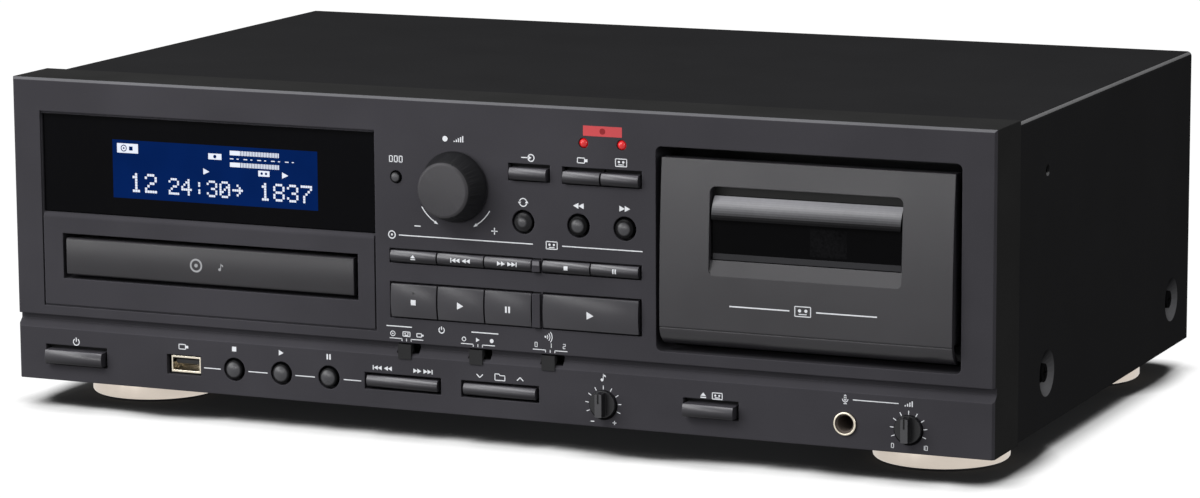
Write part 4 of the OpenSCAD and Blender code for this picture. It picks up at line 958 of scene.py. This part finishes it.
def dot_row(text, x, z, pitch=1.16, gap=0.14):
    """Dot digits, 5 by 7, from the left end x and the lower edge z."""
    out = []
    for n, char in enumerate(text):
        for row, bits in enumerate(DOTS[char].split()):
            for col, bit in enumerate(bits):
                if bit == "1":
                    x0 = x + (n * 6 + col) * pitch
                    z0 = z + (6 - row) * pitch
                    out += bar(x0, x0 + pitch - gap, z0, z0 + pitch - gap)
    return out


def on_screen(u, v):
    return SX - SW / 2 + u * SW, SZ + SH / 2 - v * SH


lit = []
x, z = on_screen(0.085, 0.885)
lit += dot_row("12", x, z)
x, z = on_screen(0.275, 0.885)
lit += dot_row("24:30>", x, z, 1.0, 0.12)
x, z = on_screen(0.72, 0.885)
lit += dot_row("1837", x, z, 1.06, 0.12)
for u, v in ((0.462, 0.455), (0.845, 0.44)):
    x, z = on_screen(u, v)
    lit += right(x, z, 2.9, 2.6)
x, z = on_screen(0.742, 0.43)
lit += bar(x - 2.6, x + 2.6, z - 1.2, z + 1.2)
x, z = on_screen(0.505, 0.19)
lit += bar(x - 3.1, x + 3.1, z - 1.25, z + 1.25)
x, z = on_screen(0.075, 0.14)
lit += bar(x - 5.0, x + 5.0, z - 2.0, z + 2.0)
for v in (0.11, 0.31):
    x, z = on_screen(0.578, v)
    lit += bar(x, x + 4.8, z - 0.95, z + 0.95)
    lit += sum([bar(x + 5.1 + i * 0.72, x + 5.55 + i * 0.72, z - 0.95, z + 0.95) for i in range(25)], [])
x, z = on_screen(0.578, 0.21)
lit += sum([bar(x + i * 3.2, x + i * 3.2 + (0.9 if i % 2 else 1.7), z - 0.2, z + 0.2) for i in range(10)], [])
on_window("screen_dots", lit, dots_finish, 0.08)
signs = []
x, z = on_screen(0.075, 0.14)
signs += disc_mark(x - 1.8, z, 1.25) + stop_mark(x + 1.6, z, 1.7)
x, z = on_screen(0.505, 0.19)
signs += dot(x, z, 0.75)
x, z = on_screen(0.742, 0.43)
signs += dot(x - 1.0, z, 0.55) + dot(x + 1.0, z, 0.55)
on_window("screen_signs", signs, screen_finish, 0.11)

# Caps on the slide switches, which hang over the groove's lower edge


def cap(name, body, x, profile, width, mat):
    """A bar of the given width along the panel; profile is a closed list of (depth, height) in mm."""
    bm = bmesh.new()
    ends = [[bm.verts.new(at(x + d, y, z)) for y, z in profile] for d in (-width / 2, width / 2)]
    n = len(profile)
    for i in range(n):
        j = (i + 1) % n
        bm.faces.new((ends[0][i], ends[0][j], ends[1][j], ends[1][i]))
    for end in ends:
        bm.faces.new(end)
    return piece(name, bm, mat, body)


CAP_W, CAP_SHIFT = 5.8, 1.2
CAP_PROFILE = [(-0.5, 21.3), (-0.5, 27.3), (2.2, 27.3), (2.2, 25.1), (-0.15, 22.2), (-0.15, 21.3)]
for use in ("input", "sync", "timer"):
    cap(use + "_slider_cap", use + "_switch", middle(use + "_slider")[0] + CAP_SHIFT, CAP_PROFILE, CAP_W,
        slider_finish)

# Colour rings on the phono sockets


def lathe(name, body, centre, profile, mat, n=40):
    """A ring turned about the inward axis; profile is a closed list of (radius, depth) in mm."""
    bm = bmesh.new()
    rows = []
    for i in range(n):
        a = 2 * math.pi * i / n
        c, s = math.cos(a), math.sin(a)
        rows.append([bm.verts.new(at(centre[0] + r * c, y, centre[1] + r * s)) for r, y in profile])
    m = len(profile)
    for i in range(n):
        p, q = rows[i], rows[(i + 1) % n]
        for j in range(m):
            bm.faces.new((p[j], q[j], q[(j + 1) % m], p[(j + 1) % m]))
    return piece(name, bm, mat, body, smooth=True)


RING_PROFILE = [(4.2, back), (6.0, back), (6.0, back + 0.9), (5.7, back + 1.2), (4.2, back + 1.2)]
for x, side in ((20, "in"), (38, "out")):
    for z, mat, hand in ((52, ring_white_finish, "left"), (34, ring_red_finish, "right")):
        lathe("socket_ring_%s_%s" % (hand, side), "cabinet", (x, z), RING_PROFILE, mat)

# Floor, light and camera
FLOOR_LIFT = 1.0
FLOOR_GREY = (0.05, 0.05, 0.05, 1)
SHADOW_REACH = 0.022
SHADOW_SPAN = (0.56, 0.9)  # openness of the floor, from the shadow's core to clear floor
WORLD_FILL = 0.62
floor_mesh = bpy.data.meshes.new("floor")
FLOOR = 9
corners = [(-FLOOR, -FLOOR, 0), (FLOOR, -FLOOR, 0), (FLOOR, FLOOR, 0), (-FLOOR, FLOOR, 0)]
floor_mesh.from_pydata(corners, [], [(0, 1, 2, 3)])
floor = bpy.data.objects.new("floor", floor_mesh)
bpy.context.scene.collection.objects.link(floor)
floor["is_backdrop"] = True
floor_mat, tree, shader = new_material("pale floor")
shader.inputs["Base Color"].default_value = FLOOR_GREY
shader.inputs["Roughness"].default_value = 0.9
shader.inputs["Specular IOR Level"].default_value = 0.0
path = add(tree, "ShaderNodeLightPath").outputs
shade = add(tree, "ShaderNodeAmbientOcclusion", samples=48)
shade.inputs["Distance"].default_value = SHADOW_REACH
open_floor = map_range(tree, shade.outputs["AO"], SHADOW_SPAN, (0.0, FLOOR_LIFT))
# The camera sees the floor's contact shadow; in reflections the floor is plain white
mirrored = math_node(tree, "ADD", path["Is Glossy Ray"], path["Is Transmission Ray"], clamp=True)
white = math_node(tree, "MULTIPLY", mirrored, FLOOR_LIFT)
shown = math_node(tree, "MULTIPLY", open_floor, path["Is Camera Ray"])
shader.inputs["Emission Color"].default_value = (1, 1, 1, 1)
tree.links.new(math_node(tree, "ADD", shown, white), shader.inputs["Emission Strength"])
floor_mesh.materials.append(floor_mat)

world = bpy.data.worlds.new("studio")
bpy.context.scene.world = world
world.use_nodes = True
tree = world.node_tree
shader = tree.nodes["Background"]
path = add(tree, "ShaderNodeLightPath").outputs
seen = math_node(tree, "ADD", path["Is Camera Ray"], path["Is Glossy Ray"], clamp=True)
seen_all = math_node(tree, "ADD", seen, path["Is Transmission Ray"], clamp=True)
shader.inputs["Color"].default_value = (1, 1, 1, 1)
tree.links.new(map_range(tree, seen_all, (0.0, 1.0), (WORLD_FILL, 1.0)), shader.inputs["Strength"])


def softbox(name, place, target, width, height, watts):
    data = bpy.data.lights.new(name, "AREA")
    data.shape = "RECTANGLE"
    data.size = width
    data.size_y = height
    data.energy = watts
    obj = bpy.data.objects.new(name, data)
    obj.location = place
    obj.rotation_euler = (Vector(target) - Vector(place)).to_track_quat("-Z", "Y").to_euler()
    bpy.context.scene.collection.objects.link(obj)
    return obj


softbox("main_box", (-0.45, -0.95, 1.02), (0.0, -0.13, 0.1), 1.2, 0.45, 13)
softbox("overhead_box", (0.0, -0.1, 1.25), (0.0, 0.0, 0.05), 1.3, 0.5, 3)
softbox("key_box", (-1.05, -1.0, 0.4), (-0.1, -0.13, 0.08), 0.7, 0.6, 7)
softbox("low_box", (-0.62, -1.75, 0.19), (0.0, -0.13, 0.06), 1.2, 0.12, 6)
softbox("side_box", (1.6, -0.4, 0.45), (0.2, 0.0, 0.06), 0.5, 0.5, 3.7)

# The camera was fitted to the cabinet's corners
EYE = (0.74038, -1.69933, 0.37796)
LENS_MM, SENSOR_MM = 130.9, 36.0
yaw, pitch, roll = math.radians(23.719), math.radians(9.738), math.radians(-0.313)
ahead = Vector((-math.sin(yaw) * math.cos(pitch), math.cos(yaw) * math.cos(pitch), -math.sin(pitch)))
across = Vector((math.cos(yaw), math.sin(yaw), 0))
above = across.cross(ahead)
side = across * math.cos(roll) + above * math.sin(roll)
top = above * math.cos(roll) - across * math.sin(roll)
lens = bpy.data.cameras.new("camera")
lens.sensor_fit = "HORIZONTAL"
lens.sensor_width = SENSOR_MM
lens.lens = LENS_MM
lens.clip_start = 0.05
lens.clip_end = 60
camera = bpy.data.objects.new("camera", lens)
camera.matrix_world = Matrix((
    (side.x, top.x, -ahead.x, EYE[0]),
    (side.y, top.y, -ahead.y, EYE[1]),
    (side.z, top.z, -ahead.z, EYE[2]),
    (0, 0, 0, 1),
))
bpy.context.scene.collection.objects.link(camera)
bpy.context.scene.camera = camera
bpy.context.scene.view_settings.view_transform = "Standard"

bpy.context.view_layer.update()
low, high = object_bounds()
